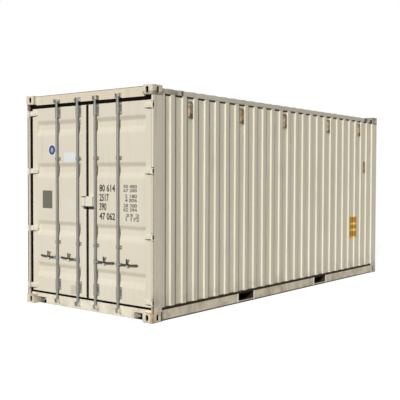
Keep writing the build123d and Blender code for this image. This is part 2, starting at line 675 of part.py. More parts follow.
def door_panel():
    """The sheet inside the frame, with recesses pressed into it."""
    x0 = in_x(DOOR_FACE_SET)
    sheet = block(x0, x0 + SHEET, PANEL_OUTER_Y, PANEL_INNER_Y, DOOR_FOOT + DOOR_RAIL, DOOR_HEAD - DOOR_RAIL)
    tops = [DOOR_HEAD - drop for drop in RECESS_DROPS] + [DOOR_FOOT + rise for rise in RECESS_RISES]
    recesses = [recess_form(top) for top in tops]
    return sheet + [Pos(SHEET, 0, 0) * recess for recess in recesses] - recesses


def door_gasket():
    """The rubber lip round the leaf."""
    x0 = in_x(GASKET_SET)
    x1 = x0 + GASKET_LIP
    ring = block(x0, x1, LEAF_OUTER_Y - GASKET_REACH, -GASKET_CENTRE_GAP / 2,
                 DOOR_FOOT - GASKET_FOOT_REACH, DOOR_HEAD + GASKET_HEAD_REACH)
    return ring - block(x0 - CUT, x1 + CUT, LEAF_OUTER_Y, LEAF_INNER_Y, DOOR_FOOT, DOOR_HEAD)


def bar_guide(y, z, height):
    """A bracket on the leaf that the bar turns in."""
    x = in_x(BAR_AXIS_SET)
    back = in_x(DOOR_FACE_SET)
    z0 = z - height / 2
    z1 = z + height / 2
    body = upright(GUIDE_R, x, y, z0, z1) + block(x, back, y - GUIDE_R, y + GUIDE_R, z0, z1)
    flange = block(back - GUIDE_FLANGE, back, y - GUIDE_FLANGE_WIDTH / 2, y + GUIDE_FLANGE_WIDTH / 2, z0, z1)
    return body + flange - upright(BAR_R + GUIDE_CLEARANCE, x, y, z0 - CUT, z1 + CUT)


def bar_guides():
    """Two brackets and two guides for each of the leaf's bars."""
    places = [(DOOR_FOOT + BRACKET_FOOT_SET, BRACKET_HEIGHT),
              (DOOR_FOOT + GUIDE_FOOT_SET, GUIDE_HEIGHT),
              (DOOR_HEAD - GUIDE_HEAD_SET, GUIDE_HEIGHT),
              (DOOR_HEAD - BRACKET_HEAD_SET, BRACKET_HEIGHT)]
    return [bar_guide(-position, z, height) for position in BAR_POSITIONS for z, height in places]


# Locking bars and their keepers

def cam(x, y, z):
    """A collar with a rounded nose that hooks behind the keeper."""
    z0 = z - CAM_HEIGHT / 2
    z1 = z + CAM_HEIGHT / 2
    half = CAM_THICKNESS / 2
    nose_y = y - CAM_REACH + half
    return fused([upright(CAM_HUB_R, x, y, z0, z1), block(x - half, x + half, y, nose_y, z0, z1),
                  upright(half, x, nose_y, z0, z1)])


def handle_hub(x, y):
    """A collar on the bar with two cheeks for the handle's pivot pin."""
    pivot_y = y - HANDLE_PIVOT_REACH
    half = HANDLE_DEPTH / 2
    near = HANDLE_THICKNESS / 2 + HUB_CHEEK_GAP
    far = near + HUB_CHEEK
    head = far + HANDLE_PIN_HEAD
    pieces = [upright(HUB_R, x, y, HANDLE_Z - HUB_HEIGHT / 2, HANDLE_Z + HUB_HEIGHT / 2)]
    for s in (-1, 1):
        pieces += [block(x + s * near, x + s * far, y, pivot_y, HANDLE_Z - half, HANDLE_Z + half),
                   pin_along_x(half, x + s * near, x + s * far, pivot_y, HANDLE_Z)]
    pieces.append(pin_along_x(HANDLE_PIN_R, x - head, x + head, pivot_y, HANDLE_Z))
    return fused(pieces)


def locking_bar(position):
    """A tube with a cam at each end and the hub that carries its handle."""
    x = in_x(BAR_AXIS_SET)
    y = -position
    tube = upright(BAR_R, x, y, BAR_FOOT, BAR_HEAD)
    bore = upright(BAR_R - BAR_WALL, x, y, BAR_FOOT + CAM_HEIGHT / 2, BAR_HEAD - CAM_HEIGHT / 2)
    return fused([tube - bore, cam(x, y, BAR_FOOT), cam(x, y, BAR_HEAD), handle_hub(x, y)])


def keeper(position, z):
    """Two lugs on the header or sill, one of them hooked over the cam's nose."""
    x = in_x(BAR_AXIS_SET)
    back = in_x(BEAM_FRONT_SET)
    y = -position
    z0 = z - KEEPER_HEIGHT / 2
    z1 = z + KEEPER_HEIGHT / 2
    front = x - KEEPER_FRONT
    outer = y - CAM_REACH - KEEPER_CAM_GAP
    inner = y + CAM_HUB_R + KEEPER_HUB_GAP
    lug = block(front, back, outer, outer - KEEPER_PLATE, z0, z1)
    lip = block(front, front + KEEPER_LIP, outer - KEEPER_PLATE, y - KEEPER_LIP_REACH, z0, z1)
    guard = block(x - KEEPER_GUARD_FRONT, back, inner, inner + KEEPER_PLATE, z0, z1)
    web = block(back - KEEPER_WEB, back, outer, inner, z0, z1)
    return fused([lug, lip, guard, web])


# Handles, retainers and catches

def handle(position):
    """A flat lever that hangs on the hub's pin and lies in its retainer."""
    x = in_x(BAR_AXIS_SET)
    y = -position
    z = HANDLE_Z
    half = HANDLE_DEPTH / 2
    pivot_y = y - HANDLE_PIVOT_REACH
    tip_y = y - HANDLE_REACH
    sag_y = pivot_y + HANDLE_SAG_PLACE * (tip_y - pivot_y)
    tip_top = (tip_y + HANDLE_TIP_LENGTH, z + half + HANDLE_TIP_RISE)
    tip_nose = (tip_y + HANDLE_TIP_BULGE, z + half - HANDLE_TIP_NOSE / 2)
    tip_foot = (tip_y, z - HANDLE_TIP_NOSE)
    upper = Spline((0, pivot_y, z + half), (0, sag_y, z + half - 2 * HANDLE_SAG), (0, *tip_top))
    lower = Spline((0, *tip_foot), (0, sag_y, z - half - HANDLE_SAG), (0, pivot_y, z - half))
    tip = ThreePointArc((0, *tip_top), (0, *tip_nose), (0, *tip_foot))
    root = ThreePointArc((0, pivot_y, z - half), (0, pivot_y + half, z), (0, pivot_y, z + half))
    outline = make_face(Wire([upper, tip, lower, root]))
    lever = Pos(x - HANDLE_THICKNESS / 2, 0, 0) * extrude(outline, amount=HANDLE_THICKNESS, dir=(1, 0, 0))
    return lever - pin_along_x(HANDLE_PIN_R + PIN_CLEARANCE, x - HANDLE_THICKNESS, x + HANDLE_THICKNESS, pivot_y, z)


def retainer(position):
    """The plate, ledge and ears on the leaf that hold the handle and its catch."""
    bar_x = in_x(BAR_AXIS_SET)
    back = in_x(DOOR_FACE_SET)
    pin_x = in_x(CATCH_PIN_SET)
    y = -position - RETAINER_REACH
    y0 = y - RETAINER_WIDTH / 2
    y1 = y + RETAINER_WIDTH / 2
    head = HANDLE_Z + RETAINER_HEAD_RISE
    seat = HANDLE_Z - HANDLE_DEPTH / 2 - HANDLE_SAG - RETAINER_SEAT_GAP
    toe_x = bar_x - LEDGE_FRONT
    barrel_r = CATCH_PIN_R + CATCH_BARREL_WALL
    plate = block(back - RETAINER_PLATE, back, y0, y1, HANDLE_Z - RETAINER_FOOT_DROP, head)
    ledge = block(toe_x, back, y0, y1, seat - LEDGE, seat)
    toe = block(toe_x, toe_x + TOE, y0, y1, seat - LEDGE, seat + TOE_RISE)
    ears = [block(pin_x - barrel_r, back, start, start + EAR, head - EAR_HEIGHT, head) for start in (y0, y1 - EAR)]
    return fused([plate, ledge, toe, pin_along_y(CATCH_PIN_R, pin_x, y0, y1, CATCH_PIN_Z)] + ears)


def catch(position):
    """The flap that hangs in front of the handle."""
    pin_x = in_x(CATCH_PIN_SET)
    y = -position - RETAINER_REACH
    half = RETAINER_WIDTH / 2 - EAR - CATCH_EAR_GAP
    barrel_r = CATCH_PIN_R + CATCH_BARREL_WALL
    barrel = pin_along_y(barrel_r, pin_x, y - half, y + half, CATCH_PIN_Z)
    flap = block(pin_x - barrel_r, pin_x - barrel_r + CATCH_PLATE, y - half, y + half,
                 HANDLE_Z - CATCH_TAIL_DROP, CATCH_PIN_Z)
    return barrel + flap - pin_along_y(CATCH_PIN_R + PIN_CLEARANCE, pin_x, y - half - CUT, y + half + CUT, CATCH_PIN_Z)


def lock_box_half(outer_edge):
    """Half of the box that shrouds the padlock: a shell that is open below and at the seam."""
    x0 = in_x(LOCK_BOX_SET)
    x1 = in_x(DOOR_FACE_SET)
    y0 = -outer_edge
    y1 = -LOCK_BOX_SEAM / 2
    z0 = DOOR_FOOT + LOCK_BOX_RISE
    z1 = z0 + LOCK_BOX_HEIGHT
    shell = block(x0, x1, y0, y1, z0, z1)
    corner = shell.edges().filter_by(Axis.Z).sort_by(Axis.X)[:2].sort_by(Axis.Y)[:1]
    shell = fillet(corner, LOCK_BOX_CORNER_R)
    plate = LOCK_BOX_PLATE
    return shell - block(x0 + plate, x1 + CUT, y0 + plate, y1 + CUT, z0 - CUT, z1 - plate)


def data_plate():
    """The plate on the left hand leaf."""
    x1 = in_x(DOOR_FACE_SET)
    centre_y = -LEAF_OUTER_Y - DATA_PLATE_SET
    centre_z = DOOR_FOOT + DATA_PLATE_RISE
    return block(x1 - DATA_PLATE_THICKNESS, x1,
                 centre_y - DATA_PLATE_WIDTH / 2, centre_y + DATA_PLATE_WIDTH / 2,
                 centre_z - DATA_PLATE_HEIGHT / 2, centre_z + DATA_PLATE_HEIGHT / 2)


# All nodes

def body_nodes():
    """The fixed body of the container."""
    keepers = [keeper(position, z) for position in BAR_POSITIONS for z in (BAR_FOOT, BAR_HEAD)]
    lugs = [hinge_lugs(z) for z in HINGE_HEIGHTS]
    nodes = {
        "top_corner_castings": four_castings(True),
        "bottom_corner_castings": four_castings(False),
        "hinge_lugs": lugs + [other_side(piece) for piece in lugs],
        "cam_keepers": keepers + [other_side(piece) for piece in keepers],
        "door_header": [door_header()],
        "door_sill": [door_sill()],
        "end_top_rail": [end_top_rail()],
        "end_bottom_rail": [end_bottom_rail()],
        "end_wall": [end_wall()],
        "roof_panel": [roof_panel()],
        "floor_boards": floor_boards(),
        "cross_members": cross_members(),
        "fork_pockets": [fork_pocket(x) for x in FORK_CENTRES],
    }
    paired = {"door_post": door_post(), "end_post": end_post(), "top_side_rail": top_side_rail(),
              "bottom_side_rail": bottom_side_rail(), "side_wall": side_wall()}
    for name, shape in paired.items():
        nodes["right_" + name] = [shape]
        nodes["left_" + name] = [other_side(shape)]
    return nodes


def leaf_nodes(side):
    """One door leaf with its gear, on either side."""
    word = "left" if side == LEFT else "right"
    box_edge = LOCK_BOX_LEFT_EDGE if side == LEFT else LOCK_BOX_RIGHT_EDGE
    shapes = {
        "door_frame": [door_frame()],
        "door_panel": [door_panel()],
        "door_gasket": [door_gasket()],
        "hinge_blades": [hinge_blade(z) for z in HINGE_HEIGHTS],
        "bar_guides": bar_guides(),
        "handle_retainers": [retainer(position) for position in BAR_POSITIONS],
        "lock_box": [lock_box_half(box_edge)],
    }
    for label, position in zip(("inner", "outer"), BAR_POSITIONS):
        shapes[label + "_bar"] = [locking_bar(position)]
        shapes[label + "_handle"] = [handle(position)]
        shapes[label + "_catch"] = [catch(position)]
    return {word + "_" + name: [for_side(side, shape) for shape in pieces] for name, pieces in shapes.items()}


def write_nodes(nodes):
    """One file for each node."""
    os.makedirs("parts", exist_ok=True)
    for name, pieces in nodes.items():
        solids = [solid for piece in pieces for solid in piece.solids()]
        shape = solids[0] if len(solids) == 1 else Compound(children=solids)
        shape.label = name
        export_step(shape, os.path.join("parts", name + ".step"))


def main():
    nodes = body_nodes()
    nodes.update(leaf_nodes(RIGHT))
    nodes.update(leaf_nodes(LEFT))
    nodes["data_plate"] = [data_plate()]
    write_nodes(nodes)


main()
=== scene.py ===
# %% [markdown]
# # A shipping container in Blender
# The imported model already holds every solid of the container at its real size: walls, doors, castings,
# hinges and locking gear. This script gives each of them its finish, adds the small pieces that are too
# fine for the solids, and sets up the camera and the light. Everything is in metres. X runs along the
# length with the doors at -X, Y across the width, and Z up from the ground.

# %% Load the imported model
import bmesh
import bpy
import math
from mathutils import Matrix, Vector


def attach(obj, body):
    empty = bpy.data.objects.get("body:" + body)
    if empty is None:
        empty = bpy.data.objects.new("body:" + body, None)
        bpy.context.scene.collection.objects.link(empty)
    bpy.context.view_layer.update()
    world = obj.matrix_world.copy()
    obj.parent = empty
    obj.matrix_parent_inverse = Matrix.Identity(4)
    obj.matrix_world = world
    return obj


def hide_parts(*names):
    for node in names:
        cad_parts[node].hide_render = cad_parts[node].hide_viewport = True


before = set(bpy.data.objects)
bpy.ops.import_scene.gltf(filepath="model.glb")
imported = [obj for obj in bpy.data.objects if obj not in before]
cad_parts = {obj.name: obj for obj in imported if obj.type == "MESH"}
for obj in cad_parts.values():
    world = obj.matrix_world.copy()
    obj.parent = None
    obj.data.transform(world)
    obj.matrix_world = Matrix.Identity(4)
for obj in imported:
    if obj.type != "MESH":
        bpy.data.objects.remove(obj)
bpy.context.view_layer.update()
scene = bpy.context.scene

# %% [markdown]
# ## Camera
# A photograph is matched by four things: where the camera stood, where it looked, how long its lens was,
# and how the picture was cropped. All four were worked out from the corners of the corner castings, the
# locking bars and the folds of the long wall, whose real places are known. The crop becomes a small lens
# shift, because the container stands off centre.

# %% Camera
PHOTO_SIDE = 400          # pixels
FOCAL_LENGTH = 709.151    # pixels
OPTICAL_CENTRE = (240.7790, 199.5492)    # pixels, where the lens axis meets the photograph
SENSOR = 36.0             # millimetres
CAMERA_PLACE = Vector((-9.2332, -7.1782, 1.7929))
CAMERA_YAW = 0.64095      # radians, like the next two
CAMERA_PITCH = 0.03279
CAMERA_ROLL = 0.00507
SIGHT = 400               # how far the camera sees


def camera_axes():
    """The camera's right, up and backward directions."""
    ahead = Vector((math.cos(CAMERA_YAW) * math.cos(CAMERA_PITCH),
                    math.sin(CAMERA_YAW) * math.cos(CAMERA_PITCH), -math.sin(CAMERA_PITCH)))
    level = Vector((math.sin(CAMERA_YAW), -math.cos(CAMERA_YAW), 0))
    above = level.cross(ahead)
    right = level * math.cos(CAMERA_ROLL) + above * math.sin(CAMERA_ROLL)
    up = above * math.cos(CAMERA_ROLL) - level * math.sin(CAMERA_ROLL)
    return right, up, -ahead


def photo_camera():
    """The camera of the photograph."""
    data = bpy.data.cameras.new("photo_camera")
    data.sensor_width = SENSOR
    data.lens = FOCAL_LENGTH / PHOTO_SIDE * SENSOR
    data.shift_x = (PHOTO_SIDE / 2 - OPTICAL_CENTRE[0]) / PHOTO_SIDE
    data.shift_y = (OPTICAL_CENTRE[1] - PHOTO_SIDE / 2) / PHOTO_SIDE
    data.clip_end = SIGHT
    camera = bpy.data.objects.new("photo_camera", data)
    turn = Matrix(camera_axes()).transposed().to_4x4()
    camera.matrix_world = Matrix.Translation(CAMERA_PLACE) @ turn
    scene.collection.objects.link(camera)
    return camera


scene.camera = photo_camera()
print("camera with a lens of", round(scene.camera.data.lens, 1), "mm")

# %% [markdown]
# ## Light
# The folds of the wall tell where the light came from: each steep fold that faces the doors is bright,
# and a narrow shadow lies behind each fold that faces away. That takes one lamp, low and about 26 degrees
# round from the door end, with soft edges, and an even light from all sides. The white backdrop is seen
# by the camera and by reflections only, so it adds no light of its own.

# %% Light
SUN_TURN = math.radians(26)      # from the door end towards the long side
SUN_HEIGHT = math.radians(23)
SUN_SOFTNESS = math.radians(7)
SUN_STRENGTH = 2.9
SUN_COLOUR = (1.0, 0.985, 0.96)
SKY_STRENGTH = 0.12
SKY_COLOUR = (1.0, 0.985, 0.955)


def sun_lamp():
    """One low lamp with soft edges."""
    towards = Vector((-math.cos(SUN_HEIGHT) * math.cos(SUN_TURN),
                      -math.cos(SUN_HEIGHT) * math.sin(SUN_TURN), math.sin(SUN_HEIGHT)))
    data = bpy.data.lights.new("low_sun", "SUN")
    data.energy = SUN_STRENGTH
    data.angle = SUN_SOFTNESS
    data.color = SUN_COLOUR
    lamp = bpy.data.objects.new("low_sun", data)
    lamp.rotation_mode = "QUATERNION"
    lamp.rotation_quaternion = (-towards).to_track_quat("-Z", "Y")
    scene.collection.objects.link(lamp)


def seen_directly(tree):
    """1 for camera, glossy and transmission rays, and 0 for the rays that carry light about."""
    path = tree.nodes.new("ShaderNodeLightPath")
    total = path.outputs["Is Camera Ray"]
    for name in ("Is Glossy Ray", "Is Transmission Ray"):
        both = tree.nodes.new("ShaderNodeMath")
        both.operation = "MAXIMUM"
        tree.links.new(total, both.inputs[0])
        tree.links.new(path.outputs[name], both.inputs[1])
        total = both.outputs[0]
    return total


def white_world():
    """Even light from all sides, in front of a white backdrop."""
    world = bpy.data.worlds.new("white_backdrop")
    world.use_nodes = True
    tree = world.node_tree
    even = tree.nodes["Background"]
    even.inputs["Color"].default_value = (*SKY_COLOUR, 1)
    even.inputs["Strength"].default_value = SKY_STRENGTH
    white = tree.nodes.new("ShaderNodeBackground")
    white.inputs["Color"].default_value = (1, 1, 1, 1)
    white.inputs["Strength"].default_value = 1.0
    choice = tree.nodes.new("ShaderNodeMixShader")
    tree.links.new(seen_directly(tree), choice.inputs[0])
    tree.links.new(even.outputs[0], choice.inputs[1])
    tree.links.new(white.outputs[0], choice.inputs[2])
    tree.links.new(choice.outputs[0], tree.nodes["World Output"].inputs["Surface"])
    scene.world = world


sun_lamp()
white_world()
scene.view_settings.view_transform = "Standard"
print("lamp and world are set")

# %% [markdown]
# ## Patterns that finishes are made of
# Paint that has stood outside is never one colour: it fades in patches, rain draws streaks down it, dirt
# settles in the folds and rust starts at the edges. Each of these is a grey pattern, worked out from the
# place on the object in metres, that decides how much of one colour lies over another. The helpers below
# make such patterns, so that each finish further down is a short list of layers.

# %% Pattern helpers


def place(tree, stretch=(1, 1, 1)):
    """The place on the object in metres, stretched for a pattern."""
    source = tree.nodes.new("ShaderNodeTexCoord")
    mapping = tree.nodes.new("ShaderNodeMapping")
    mapping.inputs["Scale"].default_value = stretch
    tree.links.new(source.outputs["Object"], mapping.inputs["Vector"])
    return mapping.outputs["Vector"]


def cloud(tree, scale, detail=3.0, stretch=(1, 1, 1)):
    """A soft random pattern with about scale patches a metre."""
    noise = tree.nodes.new("ShaderNodeTexNoise")
    noise.inputs["Scale"].default_value = scale
    noise.inputs["Detail"].default_value = detail
    tree.links.new(place(tree, stretch), noise.inputs["Vector"])
    return noise.outputs["Fac"]


def fade(tree, value, start, end):
    """0 before start, 1 past end, and smooth between."""
    ramp = tree.nodes.new("ShaderNodeMapRange")
    ramp.interpolation_type = "SMOOTHSTEP"
    ramp.inputs["From Min"].default_value = start
    ramp.inputs["From Max"].default_value = end
    tree.links.new(value, ramp.inputs["Value"])
    return ramp.outputs["Result"]


def combine(tree, operation, *values):
    """One sum on two or three values, any of which may be a plain number."""
    result = tree.nodes.new("ShaderNodeMath")
    result.operation = operation
    for socket, value in zip(result.inputs, values):
        if isinstance(value, (int, float)):
            socket.default_value = value
        else:
            tree.links.new(value, socket)
    return result.outputs["Value"]


def times(tree, *values):
    """The product of several patterns and numbers."""
    product = values[0]
    for value in values[1:]:
        product = combine(tree, "MULTIPLY", product, value)
    return product


def over(tree, amount, under, colour):
    """A colour that lies over another by an amount."""
    mix = tree.nodes.new("ShaderNodeMix")
    mix.data_type = "RGBA"
    mix.clamp_factor = True
    tree.links.new(amount, mix.inputs["Factor"])
    for socket, value in ((mix.inputs[6], under), (mix.inputs[7], colour)):
        if isinstance(value, tuple):
            socket.default_value = (*value, 1)
        else:
            tree.links.new(value, socket)
    return mix.outputs[2]


def height(tree):
    """Metres above the ground."""
    split = tree.nodes.new("ShaderNodeSeparateXYZ")
    tree.links.new(place(tree), split.inputs["Vector"])
    return split.outputs["Z"]


def near_box(tree, centre, half, edge, ragged=0.0):
    """1 inside a box and 0 further than edge outside it. Ragged makes its border uneven."""
    vector = place(tree)
    steps = (("SUBTRACT", centre), ("ABSOLUTE", None), ("SUBTRACT", half), ("MAXIMUM", (0, 0, 0)))
    for operation, value in steps:
        step = tree.nodes.new("ShaderNodeVectorMath")
        step.operation = operation
        tree.links.new(vector, step.inputs[0])
        if value:
            step.inputs[1].default_value = value
        vector = step.outputs["Vector"]
    length = tree.nodes.new("ShaderNodeVectorMath")
    length.operation = "LENGTH"
    tree.links.new(vector, length.inputs[0])
    distance = length.outputs["Value"]
    if ragged:
        uneven = combine(tree, "MULTIPLY", cloud(tree, 0.5 / ragged, 4.0), 2 * ragged)
        distance = combine(tree, "ADD", distance, uneven)
        edge = edge + ragged
    return fade(tree, distance, edge, ragged * 0.6)


def mark(colour, x, y, z, edge=0.002, ragged=0.0, strength=1.0, broken=0.0):
    """A mark of one colour that fills a box, given by its spans along x, y and z.

    Edge is how far it fades out, ragged how uneven its border is, and broken the scale of its patches.
    """
    centre = tuple((low + high) / 2 for low, high in (x, y, z))
    half = tuple((high - low) / 2 for low, high in (x, y, z))

    def lay(tree):
        amount = times(tree, near_box(tree, centre, half, edge, ragged), strength)
        if broken:
            amount = times(tree, amount, fade(tree, cloud(tree, broken, 4.0), 0.38, 0.62))
        return amount, colour

    return lay


def new_material(name):
    """A new material with its node tree and its main shader."""
    material = bpy.data.materials.new(name)
    material.use_nodes = True
    return material, material.node_tree, material.node_tree.nodes["Principled BSDF"]


print("pattern helpers are ready")

# %% [markdown]
# ## Ground
# The ground of the photograph was cut away to white, so it only has to carry the container and keep its
# shadow. It is grey for the light that it sends back, and lifted to white where it is seen. The lift is
# left out under the container, because no light gets there.

# %% Ground
GROUND_REACH = 150.0
GROUND_TONE = (0.35, 0.35, 0.35)     # how much light the ground sends back
UNDER_PAINTED_SHADE = (0.03, 0.028, 0.025)    # painted shade: the ground's tone under the container, darkened because no light gets there
GROUND_LIFT = (0.85, 0.85, 0.85)     # added where it is seen directly, so that it looks white
DARK_CENTRE = (0.04, 0.0, 0.0)       # the box under the container that gets no light
DARK_HALF = (2.95, 1.18, 1.0)


def ground_finish():
    """A pale ground that keeps the container's shadow."""
    material, tree, shader = new_material("pale_ground")
    tree.nodes.remove(shader)
    covered = near_box(tree, DARK_CENTRE, DARK_HALF, 0.03)
    open_air = combine(tree, "SUBTRACT", 1.0, covered)
    matt = tree.nodes.new("ShaderNodeBsdfDiffuse")
    # under the container the ground's colour is darkened to painted shade
    tree.links.new(over(tree, covered, GROUND_TONE, UNDER_PAINTED_SHADE), matt.inputs["Color"])
    glow = tree.nodes.new("ShaderNodeEmission")
    glow.inputs["Color"].default_value = (*GROUND_LIFT, 1)
    tree.links.new(times(tree, seen_directly(tree), open_air), glow.inputs["Strength"])
    both = tree.nodes.new("ShaderNodeAddShader")
    tree.links.new(matt.outputs[0], both.inputs[0])
    tree.links.new(glow.outputs[0], both.inputs[1])
    tree.links.new(both.outputs[0], tree.nodes["Material Output"].inputs["Surface"])
    return material


def new_object(name, bm, material):
    """One object of a finished mesh."""
    mesh = bpy.data.meshes.new(name)
    bm.to_mesh(mesh)
    bm.free()
    mesh.materials.append(material)
    made = bpy.data.objects.new(name, mesh)
    scene.collection.objects.link(made)
    return made


def ground():
    """A large flat ground under the castings."""
    bm = bmesh.new()
    bmesh.ops.create_grid(bm, x_segments=1, y_segments=1, size=GROUND_REACH)
    return new_object("ground", bm, ground_finish())


ground()
print("ground of", 2 * GROUND_REACH, "m")

# %% [markdown]
# ## Edges and corners
# Two patterns come from the shape itself. The Bevel node bends the shading near a sharp edge: it rounds
# the edge to the eye, and where it differs from the true direction of the surface, paint wears off first.
# The Ambient Occlusion node measures how enclosed a place is, which is where dirt stays and shade falls;
# paint darkened by it is dirt and painted shade together.

# %% Edge and corner patterns


def rounded(tree, radius):
    """Shading that rounds the sharp edges."""
    bevel = tree.nodes.new("ShaderNodeBevel")
    bevel.samples = 4
    bevel.inputs["Radius"].default_value = radius
    return bevel.outputs["Normal"]


def worn_edge(tree, soft_normal):
    """1 on sharp edges and 0 on flat faces."""
    true_normal = tree.nodes.new("ShaderNodeNewGeometry")
    dot = tree.nodes.new("ShaderNodeVectorMath")
    dot.operation = "DOT_PRODUCT"
    tree.links.new(true_normal.outputs["Normal"], dot.inputs[0])
    tree.links.new(soft_normal, dot.inputs[1])
    return fade(tree, dot.outputs["Value"], 0.995, 0.93)


def enclosed(tree, reach):
    """1 deep in a corner of the piece itself and 0 in the open."""
    occlusion = tree.nodes.new("ShaderNodeAmbientOcclusion")
    occlusion.samples = 6
    occlusion.only_local = True
    occlusion.inputs["Distance"].default_value = reach
    return fade(tree, occlusion.outputs["AO"], 0.85, 0.35)


def bump(tree, pattern, depth, under=None):
    """Small dents and rises, up to depth metres."""
    made = tree.nodes.new("ShaderNodeBump")
    made.inputs["Strength"].default_value = 1.0
    made.inputs["Distance"].default_value = depth
    tree.links.new(pattern, made.inputs["Height"])
    if under:
        tree.links.new(under, made.inputs["Normal"])
    return made.outputs["Normal"]


print("edge and corner patterns are ready")

# %% [markdown]
# ## Container paint
# The whole box is cream paint on steel, and it has weathered unevenly: the walls are almost clean, the
# castings are brown with dirt, and the rails carry rust. One recipe makes them all. Its layers are, from
# below: the paint, faded patches, rain streaks, dirt and painted shade in the corners, splashed dirt near
# the ground, rust along the edges and in specks, and last the marks that sit in one place only.

# %% Container paint
CREAM = (0.82, 0.77, 0.625)
DOOR_CREAM = (0.79, 0.735, 0.605)
BEAM_CREAM = (0.86, 0.80, 0.66)
FADED = (0.83, 0.80, 0.69)
STREAK = (0.36, 0.30, 0.20)
DIRT_AND_SHADE = (0.17, 0.13, 0.08)
RUST = (0.20, 0.075, 0.03)
DARK_RUST = (0.07, 0.035, 0.02)
ORANGE_RUST = (0.50, 0.285, 0.095)
TAN = (0.42, 0.27, 0.12)
GRIME = (0.06, 0.042, 0.027)
# dark dirt, and painted shade in seams, beside the hinges and under edges
DARK_GRIME_AND_SHADE = (0.022, 0.015, 0.009)
WALL_SHADE = (0.032, 0.019, 0.008)
SHADE = (0.008, 0.007, 0.006)
EDGE_ROUND = 0.004


def paint(name, colour, streaks=0.25, corners=0.4, splash=0.4, rust=0.3, edges=0.0,
          sheet_wave=0.0, marks=(), gloss=0.35):
    """Weathered container paint.

    Streaks, corners, splash, rust and edges say how much there is of each layer, the corner layer being
    dirt and painted shade, and sheet_wave how deep the sheet's dents are. Each mark is a function that
    gives its amount and its colour.
    """
    material, tree, shader = new_material(name)
    shader.inputs["Specular IOR Level"].default_value = gloss

    patches = times(tree, fade(tree, cloud(tree, 0.9), 0.4, 0.7), 0.45)
    tone = over(tree, patches, colour, FADED)
    running = fade(tree, cloud(tree, 1.0, 4.0, stretch=(16, 16, 0.7)), 0.5, 0.75)
    stopped = fade(tree, cloud(tree, 1.7, 2.0), 0.35, 0.7)
    tone = over(tree, times(tree, running, stopped, streaks), tone, STREAK)
    # dirt and painted shade in the corners, from the Ambient Occlusion pattern
    tone = over(tree, times(tree, enclosed(tree, 0.05), corners), tone, DIRT_AND_SHADE)
    near_ground = fade(tree, height(tree), 0.5, 0.0)
    splashes = fade(tree, cloud(tree, 7.0, 5.0), 0.35, 0.75)
    tone = over(tree, times(tree, near_ground, splashes, splash), tone, DIRT_AND_SHADE)

    rough_rust = cloud(tree, 60.0, 5.0)
    specks = fade(tree, cloud(tree, 38.0, 4.0), 0.66, 0.7)
    rusted = times(tree, specks, fade(tree, cloud(tree, 2.3), 0.45, 0.65), rust)
    normal = None
    if edges:
        normal = rounded(tree, EDGE_ROUND)
        chips = fade(tree, cloud(tree, 16.0, 4.0), 0.42, 0.6)
        rusted = combine(tree, "MAXIMUM", rusted, times(tree, worn_edge(tree, normal), chips, edges))
    rust_tone = over(tree, fade(tree, rough_rust, 0.35, 0.65), DARK_RUST, RUST)
    tone = over(tree, rusted, tone, rust_tone)
    for lay in marks:
        amount, mark_colour = lay(tree)
        tone = over(tree, amount, tone, mark_colour)
    tree.links.new(tone, shader.inputs["Base Color"])

    dull = combine(tree, "MULTIPLY_ADD", cloud(tree, 5.0), 0.25, 0.42)
    dull = combine(tree, "MAXIMUM", dull, times(tree, rusted, 0.9))
    tree.links.new(dull, shader.inputs["Roughness"])
    if sheet_wave:
        normal = bump(tree, cloud(tree, 1.6, 1.0), sheet_wave, normal)
    normal = bump(tree, cloud(tree, 260.0, 2.0), 0.00025, normal)
    normal = bump(tree, times(tree, rusted, rough_rust), 0.0012, normal)
    tree.links.new(normal, shader.inputs["Normal"])
    return material


def finish(material, *names):
    """Gives CAD solids a finish."""
    for name in names:
        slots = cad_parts[name].data.materials
        slots.clear()
        slots.append(material)


print("the paint recipe is ready")

# %% [markdown]
# ## Marks that sit in one place
# Some marks of the photograph belong to one place: the shade in a seam, an old run of rust, the label on
# the wall. Each is a box in which one colour lies over the paint. A box has a span along X, one across in
# Y and one up in Z, and a span that reaches past the container simply takes in all of it.

# %% Marks in one place
SIDES = ("right", "left")
ACROSS = (-1.25, 1.25)          # the whole width
ALONG = (-2.86, 2.86)           # the whole length between the castings
RIGHT_SIDE = (-1.25, -1.1)      # the right wall and its rails
SEAL_DEPTH = (-2.972, -2.82)    # from the face of the doors inwards
LEAF_FRONT = (-3.03, -2.96)     # what stands in front of the doors
HINGE_FOOT, HINGE_HEAD, HINGE_COUNT = 0.244, 2.652, 4
HINGE_STEP = (HINGE_HEAD - HINGE_FOOT) / (HINGE_COUNT - 1)
HINGE_HEIGHTS = [HINGE_FOOT + index * HINGE_STEP for index in range(HINGE_COUNT)]
VENT_RECESSES = (23, 18, 13, 7, 2)    # recesses that hold a vent, from the closed end
RECESS_PITCH = 0.2215
RECESS_ZERO = 2.849    # end of the recess next to the closed end
VENT_SET = 0.0595      # from the end of its recess to the middle of a vent
VENT_PLACES = [RECESS_ZERO - recess * RECESS_PITCH - VENT_SET for recess in VENT_RECESSES]
FORK_CENTRES = (-1.100, 0.970)
FORK_HALF = 0.181
AMBER = (0.80, 0.445, 0.045)
BROWN_PRINT = (0.34, 0.155, 0.012)
BRIGHT_PRINT = (0.90, 0.68, 0.20)
LABEL_ENDS = (1.988, 2.256)
LABEL_ROWS = ((0.958, 1.081), (0.848, 0.946), (0.712, 0.836))


